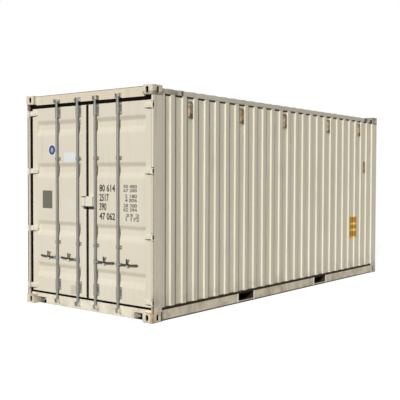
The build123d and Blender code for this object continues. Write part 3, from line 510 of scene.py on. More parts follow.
def wall_label():
    """A generic amber label: three rows, each with two brown blocks and a bright line below."""
    x0, x1 = LABEL_ENDS
    middle = (x0 + x1) / 2 - 0.01
    whole = (LABEL_ROWS[-1][0] - 0.018, LABEL_ROWS[0][1])
    marks = [mark(AMBER, LABEL_ENDS, RIGHT_SIDE, whole, 0.004, strength=0.95)]
    for foot, top in LABEL_ROWS:
        rows = (foot + 0.03, top - 0.025)
        for ends in ((x0 + 0.03, middle - 0.015), (middle + 0.015, x1 - 0.025)):
            marks.append(mark(BROWN_PRINT, ends, RIGHT_SIDE, rows, 0.018, strength=0.8))
        line = (foot - 0.013, foot + 0.004)
        marks.append(mark(BRIGHT_PRINT, (x0 + 0.09, x1 - 0.03), RIGHT_SIDE, line, 0.01, strength=0.9))
    return marks


def wall_marks():
    """Shade under the top rail, stains under the vents, an old run of rust and the label."""
    marks = [mark(WALL_SHADE, (-2.851, 2.851), (-1.203, 1.203), (2.782, 2.81), 0.004)]
    for x in VENT_PLACES:
        marks.append(mark(TAN, (x - 0.02, x + 0.03), ACROSS, (2.50, 2.54), 0.02, 0.02, 0.25))
    marks.append(mark(TAN, (2.50, 2.60), RIGHT_SIDE, (1.87, 2.06), 0.03, strength=0.8))
    for heights in ((1.985, 2.045), (1.88, 1.925)):
        marks.append(mark(DARK_RUST, (2.545, 2.585), RIGHT_SIDE, heights, 0.02, strength=0.55))
    return marks + wall_label()


def post_marks():
    """Painted shade in the seams beside the leaves and beside the hinges, a darker edge and top on the left
    post, and rust on the right one.
    """
    post_height = (0.118, 2.79)
    marks = [
        mark(SHADE, (-2.983, -2.95), (-1.192, 1.192), (0.1, 2.79), 0.001),
        mark(GRIME, (-3.02, -2.998), (1.199, 1.25), post_height, 0.004, strength=0.8),
        mark(GRIME, (-3.02, -2.9), (1.2, 1.25), post_height, 0.002, strength=0.9),
        mark(GRIME, (-3.02, -2.9), (1.15, 1.25), (2.7, 2.79), 0.004, 0.004, 0.85),
        mark(TAN, (-3.02, -2.999), (-1.25, -1.203), (0.2, 1.9), 0.006, 0.006, 0.55),
        mark(ORANGE_RUST, (-3.02, -2.995), (-1.25, -1.192), (0.1, 0.23), 0.01, 0.008, 0.9),
        mark(DARK_RUST, (-3.02, -3.0), (-1.25, -1.208), (0.1, 0.30), 0.005, 0.004, 0.85)]
    # painted shade on the post beside each hinge knuckle
    for z in HINGE_HEIGHTS:
        beside = (z - 0.045, z + 0.045)
        marks.append(mark(DARK_GRIME_AND_SHADE, (-3.02, -2.995), (-1.25, -1.196), beside, 0.004, strength=0.85))
    return marks


def rail_marks():
    """Painted shade along the wall's foot, a darker lower edge, rust by the door end, and painted shade at
    the forks.
    """
    marks = [
        mark(WALL_SHADE, ALONG, ACROSS, (0.1405, 0.1725), 0.004, strength=0.97),
        mark(GRIME, ALONG, ACROSS, (0.0, 0.021), 0.003, strength=0.8),
        mark(RUST, (-2.86, -2.83), (-1.25, -1.2), (0.0, 0.15), 0.02, 0.03, 0.7)]
    for x in FORK_CENTRES:
        mouth = (x - FORK_HALF, x + FORK_HALF)
        marks.append(mark(WALL_SHADE, mouth, ACROSS, (0.119, 0.142), 0.004, strength=0.97))
        marks.append(mark(WALL_SHADE, mouth, ACROSS, (0.0, 0.024), 0.004, strength=0.45))
    return marks


def top_rail_marks():
    """Dirt and pale patches near the door end, and dark spots near the closed end."""
    pale = (0.75, 0.66, 0.48)
    return [
        mark(GRIME, (-2.86, -2.47), RIGHT_SIDE, (2.80, 2.87), 0.02, 0.035, 0.75),
        mark(pale, (-2.80, -2.755), RIGHT_SIDE, (2.81, 2.865), 0.008, 0.012, 0.9),
        mark(pale, (-2.56, -2.50), RIGHT_SIDE, (2.80, 2.85), 0.008, 0.012, 0.9),
        mark(DARK_GRIME_AND_SHADE, (-2.488, -2.468), RIGHT_SIDE, (2.80, 2.865), 0.006, 0.008, 0.9),
        mark(DARK_RUST, (2.60, 2.86), RIGHT_SIDE, (2.79, 2.87), 0.01, 0.04, 0.8, 14.0),
        mark(DARK_GRIME_AND_SHADE, (2.535, 2.605), RIGHT_SIDE, (2.78, 2.858), 0.012, strength=0.9),
        mark(DARK_GRIME_AND_SHADE, (2.755, 2.825), RIGHT_SIDE, (2.78, 2.845), 0.012, strength=0.9)]


def casting_marks():
    """Dirt on the castings that the photograph shows, and the dark inside of all eight."""
    near, far = (-1.25, -1.05), (2.84, 3.03)
    marks = [
        mark(GRIME, (-3.03, -2.84), near, (2.77, 2.81), 0.02, 0.03, 0.7),
        mark(GRIME, far, near, (2.77, 2.9), 0.02, 0.05, 0.7),
        mark(DARK_GRIME_AND_SHADE, (2.83, 3.04), near, (2.77, 2.786), 0.005, strength=0.8),
        mark(GRIME, (2.84, 3.1), ACROSS, (-0.1, 3.0), 0.01, strength=0.2),
        mark(ORANGE_RUST, (-3.04, -3.005), (-1.25, -1.188), (0.0, 0.125), 0.008, 0.01, 0.85),
        mark(DARK_RUST, (-3.04, -3.022), (-1.25, -1.211), (0.0, 0.125), 0.004, 0.004, 0.8, 30.0),
        mark(DARK_GRIME_AND_SHADE, (-2.872, -2.84), (-1.25, -1.2), (0.0, 0.125), 0.006, strength=0.85),
        mark(DARK_GRIME_AND_SHADE, (-3.04, -2.84), near, (0.0, 0.006), 0.006, 0.008, 0.7)]
    marks += [mark(SHADE, x, y, z, 0.003) for x in ((-3.013, -2.87), (2.87, 3.013))
              for y in ((-1.203, -1.073), (1.073, 1.203)) for z in ((0.012, 0.106), (2.79, 2.884))]
    marks.append(mark(GRIME, (-3.02, -3.0), (1.04, 1.07), (2.77, 2.9), 0.004, 0.004, 0.5))
    return marks


header_marks = [mark(SHADE, SEAL_DEPTH, ACROSS, (2.68, 2.778)),
                mark(GRIME, (-3.0, -2.966), ACROSS, (2.885, 2.9), 0.003, 0.002, 0.9)]
sill_marks = [mark(SHADE, SEAL_DEPTH, (-1.17, 1.17), (0.1485, 0.16))]
keeper_marks = [mark(DARK_RUST, (-3.1, -2.9), (-1.0, 1.0), (2.6, 2.9), 0.01, 0.0, 0.85, 25.0)]
print(len(wall_marks()) + len(post_marks()) + len(rail_marks()), "marks on walls, posts and lower rails")

# %% [markdown]
# ## Paint on the fixed body
# Each kind of part gets the recipe with its own amounts. Large sheets are nearly clean and slightly wavy,
# beams and castings have worn edges, and the castings and keepers carry the most rust.

# %% Paint on the fixed body
finish(paint("sheet_paint", CREAM, streaks=0.3, corners=0.35, rust=0.05, sheet_wave=0.006,
             marks=wall_marks()), "right_side_wall", "left_side_wall", "end_wall")
finish(paint("roof_paint", CREAM, streaks=0.0, corners=0.4, splash=0.0, rust=0.35,
             sheet_wave=0.004), "roof_panel")
finish(paint("beam_paint", BEAM_CREAM, streaks=0.35, corners=0.5, splash=0.7, rust=0.5, edges=0.5),
       "end_top_rail", "end_bottom_rail", "hinge_lugs", "right_end_post", "left_end_post")
finish(paint("header_paint", (0.79, 0.715, 0.56), streaks=0.3, corners=0.6, rust=0.5, edges=0.7,
             marks=header_marks, gloss=0.15), "door_header")
finish(paint("sill_paint", (0.88, 0.82, 0.67), streaks=0.2, corners=0.5, splash=0.3, rust=0.4,
             edges=0.6, marks=sill_marks), "door_sill")
finish(paint("post_paint", BEAM_CREAM, streaks=0.3, corners=0.4, splash=0.7, rust=0.4, edges=0.5,
             marks=post_marks()), "right_door_post", "left_door_post")
finish(paint("rail_paint", (0.90, 0.81, 0.635), streaks=0.3, corners=0.4, splash=0.5, rust=0.6,
             edges=0.5, marks=rail_marks(), gloss=0.05),
       "right_bottom_side_rail", "left_bottom_side_rail")
finish(paint("top_rail_paint", (0.70, 0.66, 0.54), streaks=0.4, corners=0.4, rust=0.5, edges=0.6,
             marks=top_rail_marks(), gloss=0.15), "right_top_side_rail", "left_top_side_rail")
finish(paint("keeper_paint", DOOR_CREAM, streaks=0.4, corners=0.7, rust=0.9, edges=0.9,
             marks=keeper_marks), "cam_keepers")
finish(paint("casting_paint", (0.80, 0.73, 0.57), streaks=0.6, corners=0.9, splash=0.6, rust=0.8,
             edges=0.9, marks=casting_marks()), "top_corner_castings", "bottom_corner_castings")
print("paint is on the fixed body")

# %% [markdown]
# ## Paint on the doors
# The leaves are the cleanest part. The hinge blades are painted a little paler as a painted highlight,
# with a painted shadow along the lower edge and painted shade at the end beside the right post. A
# painted shadow lies on the leaf below the box that guards the padlock and on the box's lower edge.

# %% Paint on the doors
BOX_SHADOW = mark(DARK_GRIME_AND_SHADE, (-2.975, -2.96), (-0.115, 0.072), (1.353, 1.386), 0.008, strength=0.92)
# painted shadow along the lower edge of each hinge blade, and painted shade at the blade's end beside the
# right post
hinge_shade_marks = [mark(DARK_GRIME_AND_SHADE, LEAF_FRONT, ACROSS, (z - 0.044, z - 0.029), 0.004, strength=0.9)
               for z in HINGE_HEIGHTS]
hinge_shade_marks += [mark(DARK_GRIME_AND_SHADE, (-3.016, -2.96), (-1.25, -1.198), (z - 0.05, z + 0.05), 0.003, strength=0.9)
                for z in HINGE_HEIGHTS]
lock_box_marks = [mark(DARK_GRIME_AND_SHADE, LEAF_FRONT, (-0.02, 0.1), (1.510, 1.53), 0.006, strength=0.9),
                  # painted shade along the box's lower edge, joining the painted shadow below it
                  mark(DARK_GRIME_AND_SHADE, LEAF_FRONT, (-0.2, 0.1), (1.38, 1.391), 0.006, strength=0.9)]
door_paint = paint("door_paint", DOOR_CREAM, streaks=0.12, corners=0.35, splash=0.03, rust=0.15,
                   sheet_wave=0.003, marks=[BOX_SHADOW])
fitting_paint = paint("fitting_paint", DOOR_CREAM, streaks=0.3, corners=0.5, rust=0.4, edges=0.5)
# paler than the door paint, as a painted highlight on the hinge blades
hinge_lit_paint = paint("hinge_lit_paint", (0.86, 0.815, 0.68), streaks=0.1, corners=0.5, rust=0.3, edges=0.3,
                    marks=hinge_shade_marks)
lock_box_paint = paint("lock_box_paint", (0.86, 0.82, 0.69), streaks=0.1, corners=0.5, rust=0.2,
                       edges=0.2, marks=lock_box_marks)
for side in SIDES:
    finish(door_paint, side + "_door_frame", side + "_door_panel")
    finish(fitting_paint, side + "_handle_retainers")
    finish(hinge_lit_paint, side + "_hinge_blades")
    finish(lock_box_paint, side + "_lock_box")
print("paint is on the doors")

# %% [markdown]
# ## Bare steel and rubber
# The locking bars are dipped in zinc, which leaves a dull, mottled grey skin, and the handles and catches
# are dark with handling and rust. Rubber is nearly black and matt, with a bloom of grey dust.

# %% Bare steel and rubber
ZINC = (0.27, 0.275, 0.26)
LEVER = (0.055, 0.048, 0.04)


def metal(name, colour, corner_stain_and_shade, metallic, roughness, spots):
    """Bare steel: mottled, darkened in the corners by stain and painted shade, and rusty in spots."""
    material, tree, shader = new_material(name)
    shader.inputs["Metallic"].default_value = metallic
    normal = rounded(tree, 0.002)
    mottled = times(tree, fade(tree, cloud(tree, 30.0, 4.0), 0.35, 0.7), 0.5)
    tone = over(tree, mottled, colour, tuple(c * 0.72 for c in colour))
    # stain and painted shade in the corners, from the Ambient Occlusion pattern
    tone = over(tree, times(tree, enclosed(tree, 0.02), 0.7), tone, corner_stain_and_shade)
    spot = times(tree, fade(tree, cloud(tree, 22.0, 5.0), 0.58, 0.68), spots)
    tree.links.new(over(tree, spot, tone, RUST), shader.inputs["Base Color"])
    rough = combine(tree, "MULTIPLY_ADD", cloud(tree, 18.0), 0.3, roughness)
    tree.links.new(rough, shader.inputs["Roughness"])
    tree.links.new(bump(tree, cloud(tree, 180.0, 3.0), 0.0004, normal), shader.inputs["Normal"])
    return material


def rubber_finish():
    """Black rubber with a little dust."""
    material, tree, shader = new_material("black_rubber")
    shader.inputs["Roughness"].default_value = 0.8
    shader.inputs["Specular IOR Level"].default_value = 0.03
    dust = times(tree, fade(tree, cloud(tree, 9.0, 5.0), 0.5, 0.8), 0.25)
    tone = over(tree, dust, (0.006, 0.0045, 0.003), (0.05, 0.04, 0.028))
    tree.links.new(tone, shader.inputs["Base Color"])
    tree.links.new(bump(tree, cloud(tree, 120.0), 0.0005), shader.inputs["Normal"])
    return material


zinc = metal("dipped_zinc", ZINC, (0.10, 0.09, 0.07), 0.35, 0.38, 0.25)
lever_steel = metal("lever_steel", LEVER, (0.02, 0.017, 0.014), 0.25, 0.45, 0.5)
rubber = rubber_finish()
for side in SIDES:
    finish(zinc, side + "_bar_guides", side + "_inner_bar", side + "_outer_bar")
    finish(lever_steel, side + "_inner_handle", side + "_inner_catch")
    finish(lever_steel, side + "_outer_handle", side + "_outer_catch")
    finish(rubber, side + "_door_gasket")
print("steel and rubber are on")

# %% [markdown]
# ## Floor, underside and plate
# The floor is sealed plywood: a long straight grain with thin dark seams between the sheets, scuffed by
# pallets and trucks. Underneath, everything is brushed with black bitumen. The data plate is a bare sheet
# of dull metal.

# %% Floor, underside and plate
SHEET_SEAMS = (-1.72, -0.52, 0.68, 1.88)
FLOOR_TOP = 0.168


def plywood():
    """Sealed plywood with its grain along the sheet, scuffed."""
    material, tree, shader = new_material("floor_plywood")
    grain = cloud(tree, 3.0, 6.0, stretch=(1.2, 22, 22))
    tone = over(tree, fade(tree, grain, 0.3, 0.7), (0.30, 0.17, 0.085), (0.17, 0.09, 0.045))
    pale = times(tree, fade(tree, cloud(tree, 1.3), 0.4, 0.7), 0.4)
    tone = over(tree, pale, tone, (0.36, 0.25, 0.15))
    scuff = times(tree, fade(tree, cloud(tree, 2.0, 5.0, stretch=(1, 14, 1)), 0.6, 0.72), 0.7)
    tone = over(tree, scuff, tone, (0.07, 0.05, 0.035))
    for x in SHEET_SEAMS:
        seam = near_box(tree, (x, 0, FLOOR_TOP), (0.0015, 1.2, 0.1), 0.002)
        tone = over(tree, seam, tone, (0.02, 0.014, 0.01))
    tree.links.new(tone, shader.inputs["Base Color"])
    rough = combine(tree, "MULTIPLY_ADD", grain, 0.3, 0.4)
    tree.links.new(rough, shader.inputs["Roughness"])
    tree.links.new(bump(tree, grain, 0.0008), shader.inputs["Normal"])
    return material


def bitumen():
    """Brushed black underseal."""
    material, tree, shader = new_material("bitumen")
    brushed = cloud(tree, 14.0, 5.0, stretch=(3, 1, 1))
    worn = times(tree, fade(tree, brushed, 0.45, 0.7), 0.6)
    tone = over(tree, worn, (0.018, 0.015, 0.012), (0.085, 0.062, 0.04))
    tree.links.new(tone, shader.inputs["Base Color"])
    shader.inputs["Roughness"].default_value = 0.55
    tree.links.new(bump(tree, brushed, 0.002), shader.inputs["Normal"])
    return material


finish(plywood(), "floor_boards")
finish(bitumen(), "cross_members", "fork_pockets")
plate_metal = metal("plate_metal", (0.165, 0.16, 0.115), (0.06, 0.06, 0.05), 0.15, 0.45, 0.1)
finish(plate_metal, "data_plate")
print("floor, underside and plate are on")

# %% [markdown]
# ## Making small pieces
# Everything below is too fine for the solids: bolt heads, rubber lips, vents, labels and numbers. Many
# like pieces are built into one mesh, which then rides on the body it is fixed to. A block with its edges
# cut back and a short cone with a flat top are all that most of them need.

# %% Helpers for small pieces
FACE_X = -2.970          # front of the door leaves
SIDE_Y = 1.219           # outer side of the container, from the centre line
LEAF_EDGE = 1.155        # hinge edge of a leaf
BARS = (0.172, 0.592)    # locking bars
DOOR_FOOT, DOOR_HEAD = 0.177, 2.718
SIGN = {"right": -1, "left": 1}
TO_DOOR_END = Matrix.Rotation(math.radians(-90), 4, "Y")    # lays upright things down, top to -X


def mirrored(sign, near, far):
    """A span on one side of a middle, lower end first."""
    return sorted((sign * near, sign * far))


def soften(bm, corners, bevel, segments):
    """Cuts back every edge that meets one of the corners."""
    edges = list(dict.fromkeys(edge for corner in corners for edge in corner.link_edges))
    bmesh.ops.bevel(bm, geom=edges, offset=bevel, segments=segments, profile=0.5, affect="EDGES",
                    material=-1)


def sharp_block(bm, low, high):
    """A block between two corners. Gives its eight corners."""
    size = [b - a for a, b in zip(low, high)]
    middle = [(a + b) / 2 for a, b in zip(low, high)]
    matrix = Matrix.Translation(middle) @ Matrix.Diagonal((*size, 1))
    return bmesh.ops.create_cube(bm, size=1.0, matrix=matrix)["verts"]


def block(bm, low, high, bevel=0.0, segments=1):
    """A block between two corners, its edges cut back by bevel."""
    corners = sharp_block(bm, low, high)
    if bevel:
        soften(bm, corners, bevel, segments)


def head(bm, centre, radius, tall, sides, taper):
    """A low bolt or rivet head that stands on its centre and points to the door end."""
    matrix = Matrix.Translation(centre) @ TO_DOOR_END @ Matrix.Translation((0, 0, tall / 2))
    bmesh.ops.create_cone(bm, cap_ends=True, segments=sides, radius1=radius, radius2=radius * taper,
                          depth=tall, matrix=matrix)


def piece(name, bm, material, body):
    """Makes one object of a finished mesh and lets it ride on its body."""
    bmesh.ops.recalc_face_normals(bm, faces=bm.faces)
    made = new_object(name, bm, material)
    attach(made, body)
    print(name, len(made.data.polygons), "faces, on", body)
    return made


print("helpers for small pieces are ready")

# %% [markdown]
# ## Pressed door panels
# The steel sheet in each leaf is pressed into four wide troughs that keep it from buckling. A press never
# makes a sharp fold: every fold has a radius, the upper slope is shorter than the lower one, and the ends
# are steep. The sheet is drawn as a fine grid that is pushed in by the depth of the trough at each place,
# then it is made two millimetres thick.

# %% Pressed door panels
PANEL_OUTER, PANEL_INNER = 1.053, 0.128     # edges of the panel, from the centre line
PANEL_FOOT, PANEL_HEAD = 0.327, 2.568
TROUGH_TOPS = (2.542, 1.961, 1.166, 0.583)
TROUGH_DEPTH = 0.0335
TROUGH_SHAPE = ((0.0, 0.0), (0.052, 1.0), (0.128, 1.0), (0.204, 0.0))    # drop, share of the depth
END_START, END_RUN = 0.0015, 0.008    # where a steep end starts, and how long it is
END_STEPS = (0.0, 0.0015, 0.003, 0.0055, 0.008, 0.0095, 0.011)    # columns of the grid at an end
ROW_START, ROW_STEP, ROW_COUNT = 0.012, 0.006, 39
FOLD_RADIUS = 0.010
SHEET = 0.002
SMOOTH_ANGLE = math.radians(50)


def along(points, value):
    """The height of a line through points at a value, level before and after it."""
    for (x0, y0), (x1, y1) in zip(points, points[1:]):
        if x0 <= value <= x1:
            return y0 + (y1 - y0) * (value - x0) / (x1 - x0)
    return points[0][1] if value < points[0][0] else points[-1][1]


def trough(z):
    """How deep the sheet is pressed in at a height, with soft folds."""
    spread = [FOLD_RADIUS * step / 3 for step in range(-3, 4)]
    shares = sum(along(TROUGH_SHAPE, top - z + drop) for top in TROUGH_TOPS for drop in spread)
    return TROUGH_DEPTH * shares / len(spread)


def panel_rows():
    """Heights of the grid's rows: close together in the troughs, far apart between them."""
    rows = {PANEL_FOOT, PANEL_HEAD}
    for top in TROUGH_TOPS:
        rows.update(round(top + ROW_START - index * ROW_STEP, 4) for index in range(ROW_COUNT))
    return sorted(row for row in rows if PANEL_FOOT <= row <= PANEL_HEAD)


def panel_columns():
    """Places of the grid's columns across, each with its share of the depth."""
    columns = [PANEL_INNER + step for step in END_STEPS]
    columns += [PANEL_OUTER - step for step in reversed(END_STEPS)]
    shares = [along(((END_START, 0.0), (END_START + END_RUN, 1.0)), step) for step in END_STEPS]
    return columns, shares + shares[::-1]


def pressed_panel(side):
    """One leaf's panel in place of the plain solid."""
    rows = panel_rows()
    columns, shares = panel_columns()
    bm = bmesh.new()
    grid = bmesh.ops.create_grid(bm, x_segments=len(columns) - 1, y_segments=len(rows) - 1, size=0.5)
    for vertex in grid["verts"]:
        column = round((vertex.co.x + 0.5) * (len(columns) - 1))
        z = rows[round((vertex.co.y + 0.5) * (len(rows) - 1))]
        vertex.co = (FACE_X + trough(z) * shares[column], SIGN[side] * columns[column], z)
    bmesh.ops.recalc_face_normals(bm, faces=bm.faces)
    if sum(face.normal.x for face in bm.faces) < 0:
        bmesh.ops.reverse_faces(bm, faces=bm.faces)
    bmesh.ops.solidify(bm, geom=list(bm.faces), thickness=-SHEET)
    panel = piece(side + "_pressed_panel", bm, door_paint, side + "_door")
    panel.data.shade_smooth()
    panel.data.set_sharp_from_angle(angle=SMOOTH_ANGLE)
    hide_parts(side + "_door_panel")


for side in SIDES:
    pressed_panel(side)

# %% [markdown]
# ## Bolts of the doors
# Hinge blades, bar guides and handle retainers are bolted to the leaves. The hinge bolts have wide domed
# heads that cannot be gripped from outside, the others are smaller hexagons. Each head sits flat on the
# plate that it holds.

# %% Bolts of the doors
BLADE_X, GUIDE_X, RETAINER_X = -2.984, -2.976, -2.974    # faces that the heads sit on
BLADE_BOLTS = (0.098, 0.152)    # in from the side
GUIDES = (0.888, 2.018)         # guides with two bolts
BRACKETS = (0.308, 2.642)       # guides with four bolts
GUIDE_BOLT, BRACKET_BOLT = 0.0345, 0.052    # from the guide's middle, across and up
BOLT_ROWS = (*GUIDES, *(z + dz for z in BRACKETS for dz in (-BRACKET_BOLT, BRACKET_BOLT)))
RETAINER_ACROSS, RETAINER_BOLT = 0.175, 0.6435


def door_bolts(side):
    """All bolt heads of one leaf."""
    s = SIGN[side]
    bm = bmesh.new()
    for z in HINGE_HEIGHTS:
        for across in BLADE_BOLTS:
            head(bm, (BLADE_X, s * (SIDE_Y - across), z), 0.012, 0.005, 16, 0.6)
    for bar in BARS:
        for z in BOLT_ROWS:
            for dy in (-GUIDE_BOLT, GUIDE_BOLT):
                head(bm, (GUIDE_X, s * (bar + dy), z), 0.008, 0.006, 6, 0.9)
        head(bm, (RETAINER_X, s * (bar + RETAINER_ACROSS), RETAINER_BOLT), 0.007, 0.005, 6, 0.9)
    piece(side + "_door_bolts", bm, fitting_paint, side + "_door")


for side in SIDES:
    door_bolts(side)

# %% [markdown]
# ## Rubber lips
# The door seal has a wide outer lip that shows as a black line round each leaf. Between the leaves the
# left one's lip covers the joint, and it stops at the box that guards the padlock. On the hinge side it
# stops at each hinge blade. The lips are soft strips with rounded edges, a few millimetres thick.

# %% Rubber lips
LIP_ON_LEAF, LIP_OVER_GAP = 0.008, 0.022    # hinge lip, to both sides of the leaf's edge
LIP_THICKNESS, LIP_ROUND = 0.003, 0.0011
LIP_END, SHORTEST_LIP = 0.004, 0.02
CENTRE_LIP = (0.0155, 0.0285)    # across
LOCK_BOX = (1.385, 1.521)        # foot and head of the box
BLADE_HALF = 0.038               # half the height of a hinge blade


def lip_lengths(stops):
    """The free lengths of a lip between the things that it stops at."""
    foot = DOOR_FOOT + LIP_END
    lengths = []
    for low, high in stops:
        if low - foot > SHORTEST_LIP:
            lengths.append((foot, low - LIP_END / 2))
        foot = high + LIP_END / 2
    lengths.append((foot, DOOR_HEAD - LIP_END))
    return lengths


def lip(name, body, span, stops, back):
    """One outer lip in lengths, over its span across."""
    bm = bmesh.new()
    for z0, z1 in lip_lengths(stops):
        block(bm, (FACE_X - LIP_THICKNESS, span[0], z0), (back, span[1], z1), LIP_ROUND, 2)
    piece(name, bm, rubber, body)


lip("centre_lip", "left_door", CENTRE_LIP, [LOCK_BOX], FACE_X)
blades = [(z - BLADE_HALF, z + BLADE_HALF) for z in HINGE_HEIGHTS]
for side in SIDES:
    span = mirrored(SIGN[side], LEAF_EDGE - LIP_ON_LEAF, LEAF_EDGE + LIP_OVER_GAP)
    lip(side + "_hinge_lip", side + "_door", span, blades, FACE_X + 0.001)

# %% [markdown]
# ## Vents
# Five recesses of each long wall hold a vent near the top: a shallow cover with sloping sides, open at
# its lower end, so that air gets in and rain does not. The covers have turned brown. Each is a block
# whose front is made narrower, with thin ribs across its foot. The opening under the front is a thin
# black sheet of painted shade.

# %% Vents
VENT_WIDTH, VENT_FRONT_WIDTH = 0.088, 0.048
VENT_FOOT, VENT_HEAD = 2.538, 2.750
VENT_SLOPE = 0.014     # drop of the cover's upper end towards its front
WALL_INNER = 1.191     # outer face of the wall at the bottom of a recess
VENT_FACE = WALL_INNER + 0.019
RIB_COUNT, RIB_FOOT, RIB_PITCH, RIB_TALL = 5, VENT_FOOT + 0.012, 0.0085, 0.003
MOUTH_FOOT, MOUTH_HEAD = VENT_FOOT + 0.010, VENT_FOOT + 0.052
RIB_HALF, MOUTH_HALF = 0.023, 0.021
vent_marks = [mark(GRIME, ALONG, ACROSS, (2.53, 2.76), 0.01, 0.0, 0.55, 16.0),
              mark(GRIME, ALONG, ACROSS, (2.725, 2.76), 0.02, strength=0.7),
              mark(GRIME, ALONG, ACROSS, (2.53, 2.552), 0.01, strength=0.7)]
vent_paint = paint("vent_paint", (0.52, 0.36, 0.18), streaks=0.3, corners=0.5, splash=0.0, rust=0.6,
                   edges=0.5, marks=vent_marks)
# near-black painted shade for the openings of the vents
vent_mouth_shade = metal("vent_mouth_painted_shade", (0.02, 0.016, 0.012), (0.01, 0.008, 0.006), 0.0, 0.7, 0.0)


def vent_cover(bm, x, s):
    """A cover that narrows towards its front and its upper end."""
    y0, y1 = mirrored(s, WALL_INNER, VENT_FACE)
    half = VENT_WIDTH / 2
    corners = sharp_block(bm, (x - half, y0, VENT_FOOT), (x + half, y1, VENT_HEAD))
    for corner in corners:
        if abs(corner.co.y) > (WALL_INNER + VENT_FACE) / 2:
            corner.co.x = x + (corner.co.x - x) * VENT_FRONT_WIDTH / VENT_WIDTH
            if corner.co.z > (VENT_FOOT + VENT_HEAD) / 2:
                corner.co.z -= VENT_SLOPE
    soften(bm, corners, 0.003, 2)


def vents(side):
    """The covers of one wall, and the mouths under their fronts as black sheets of painted shade."""
    s = SIGN[side]
    covers = bmesh.new()
    mouths = bmesh.new()
    for x in VENT_PLACES:
        vent_cover(covers, x, s)
        # a thin black sheet of painted shade in each vent's mouth
        y0, y1 = mirrored(s, VENT_FACE - 0.002, VENT_FACE + 0.0005)
        block(mouths, (x - MOUTH_HALF, y0, MOUTH_FOOT), (x + MOUTH_HALF, y1, MOUTH_HEAD), 0.0005)
        y0, y1 = mirrored(s, VENT_FACE, VENT_FACE + 0.0015)
        for index in range(RIB_COUNT):
            z = RIB_FOOT + index * RIB_PITCH
            block(covers, (x - RIB_HALF, y0, z), (x + RIB_HALF, y1, z + RIB_TALL), 0.0004)
    piece(side + "_vent_mouths", mouths, vent_mouth_shade, "container_body")
    piece(side + "_vents", covers, vent_paint, "container_body")


for side in SIDES:
    vents(side)

# %% [markdown]
# ## Fork mouths
# The rail is stiffened at both ends of each fork mouth by a narrow plate that is welded on. The plates
# are painted paler than the rest as a painted highlight for the light that they catch, and they frame
# the dark openings.

# %% Fork mouths
FORK_PLATE_WIDTH = 0.028
FORK_PLATE_FOOT, FORK_PLATE_HEAD = 0.019, 0.142
FORK_PLATE_BACK, FORK_PLATE_FRONT = 1.215, 1.2175
# paler than the container paint, as a painted highlight on the fork plates
fork_lit_paint = paint("fork_plate_lit_paint", (0.97, 0.94, 0.83), streaks=0.1, corners=0.2, splash=0.1, rust=0.2)


def fork_plates():
    """A narrow plate at each end of the four fork mouths."""
    bm = bmesh.new()
    for x in FORK_CENTRES:
        for s in (-1, 1):
            y0, y1 = mirrored(s, FORK_PLATE_BACK, FORK_PLATE_FRONT)
            for e in (-1, 1):
                x0, x1 = mirrored(e, FORK_HALF, FORK_HALF + FORK_PLATE_WIDTH)
                block(bm, (x + x0, y0, FORK_PLATE_FOOT), (x + x1, y1, FORK_PLATE_HEAD), 0.0008)
    piece("fork_mouth_plates", bm, fork_lit_paint, "container_body")


fork_plates()

# %% [markdown]
# ## Numbers
# The real doors carry painted weights. Here they are generic: plain numbers in the same places and sizes.
# Each number is a flat outline that is made a mesh, stretched to its height and width, and laid half a
# millimetre in front of the leaf, like paint.

# %% Numbers
PAINT_LIFT = 0.0006
OUTLINE_HALF = 0.002    # half the thickness of an outline before it is made thin
NUMBER_ROWS = ((1.679, 1.586), (1.559, 1.462), (1.441, 1.342), (1.317, 1.223))    # top, foot
BOLD_LEFT = -0.222
BOLD_LINES = (("80 614", 0.291), ("2517", 0.175), ("390", 0.131), ("47 062", 0.291))     # width
FINE_LINES = (("30 480", "67 200", -0.663, 0.239), ("2 180", "4 806", -0.690, 0.212),
              ("28 300", "62 394", -0.663, 0.239), ("33 2", "1 172", -0.706, 0.238))     # left, width
FINE_SHARE = 0.47       # height of a fine line, as a share of its row
BOLD_STROKE, FINE_STROKE = 0.028, 0.032


def flat_numbers(bm, text, left, top, width, tall, stroke):
    """Numbers laid on the leaf's face, stretched to a given width and height."""
    curve = bpy.data.curves.new("numbers", "FONT")
    curve.body = text
    curve.resolution_u = 3
    curve.offset = stroke
    curve.extrude = OUTLINE_HALF
    source = bpy.data.objects.new("numbers", curve)
    scene.collection.objects.link(source)
    bpy.context.view_layer.update()
    mesh = bpy.data.meshes.new_from_object(source)
    bpy.data.objects.remove(source)
    xs = [vertex.co.x for vertex in mesh.vertices]
    ys = [vertex.co.y for vertex in mesh.vertices]
    across = width / (max(xs) - min(xs))
    upward = tall / (max(ys) - min(ys))
    thin = PAINT_LIFT / (2 * OUTLINE_HALF)
    lie = Matrix(((0, 0, -thin, FACE_X - PAINT_LIFT / 2),
                  (-across, 0, 0, left + min(xs) * across),
                  (0, upward, 0, top - tall - min(ys) * upward),
                  (0, 0, 0, 1)))
    mesh.transform(lie)
    bm.from_mesh(mesh)
    bpy.data.meshes.remove(mesh)


def printed(name, colour, roughness, worn, wear_scale=9.0):
    """Print, paint or plastic of one colour, a little faded in patches."""
    material, tree, shader = new_material(name)
    patches = times(tree, fade(tree, cloud(tree, wear_scale, 3.0), 0.4, 0.7), worn)
    tree.links.new(over(tree, patches, colour, DOOR_CREAM), shader.inputs["Base Color"])
    shader.inputs["Roughness"].default_value = roughness
    shader.inputs["Specular IOR Level"].default_value = 0.3
    tree.links.new(bump(tree, cloud(tree, 90.0, 2.0), 0.0001), shader.inputs["Normal"])
    return material


number_paint = printed("number_paint", (0.030, 0.028, 0.026), 0.6, 0.10, 40.0)
worn_number_paint = printed("worn_number_paint", (0.115, 0.11, 0.10), 0.6, 0.35, 40.0)


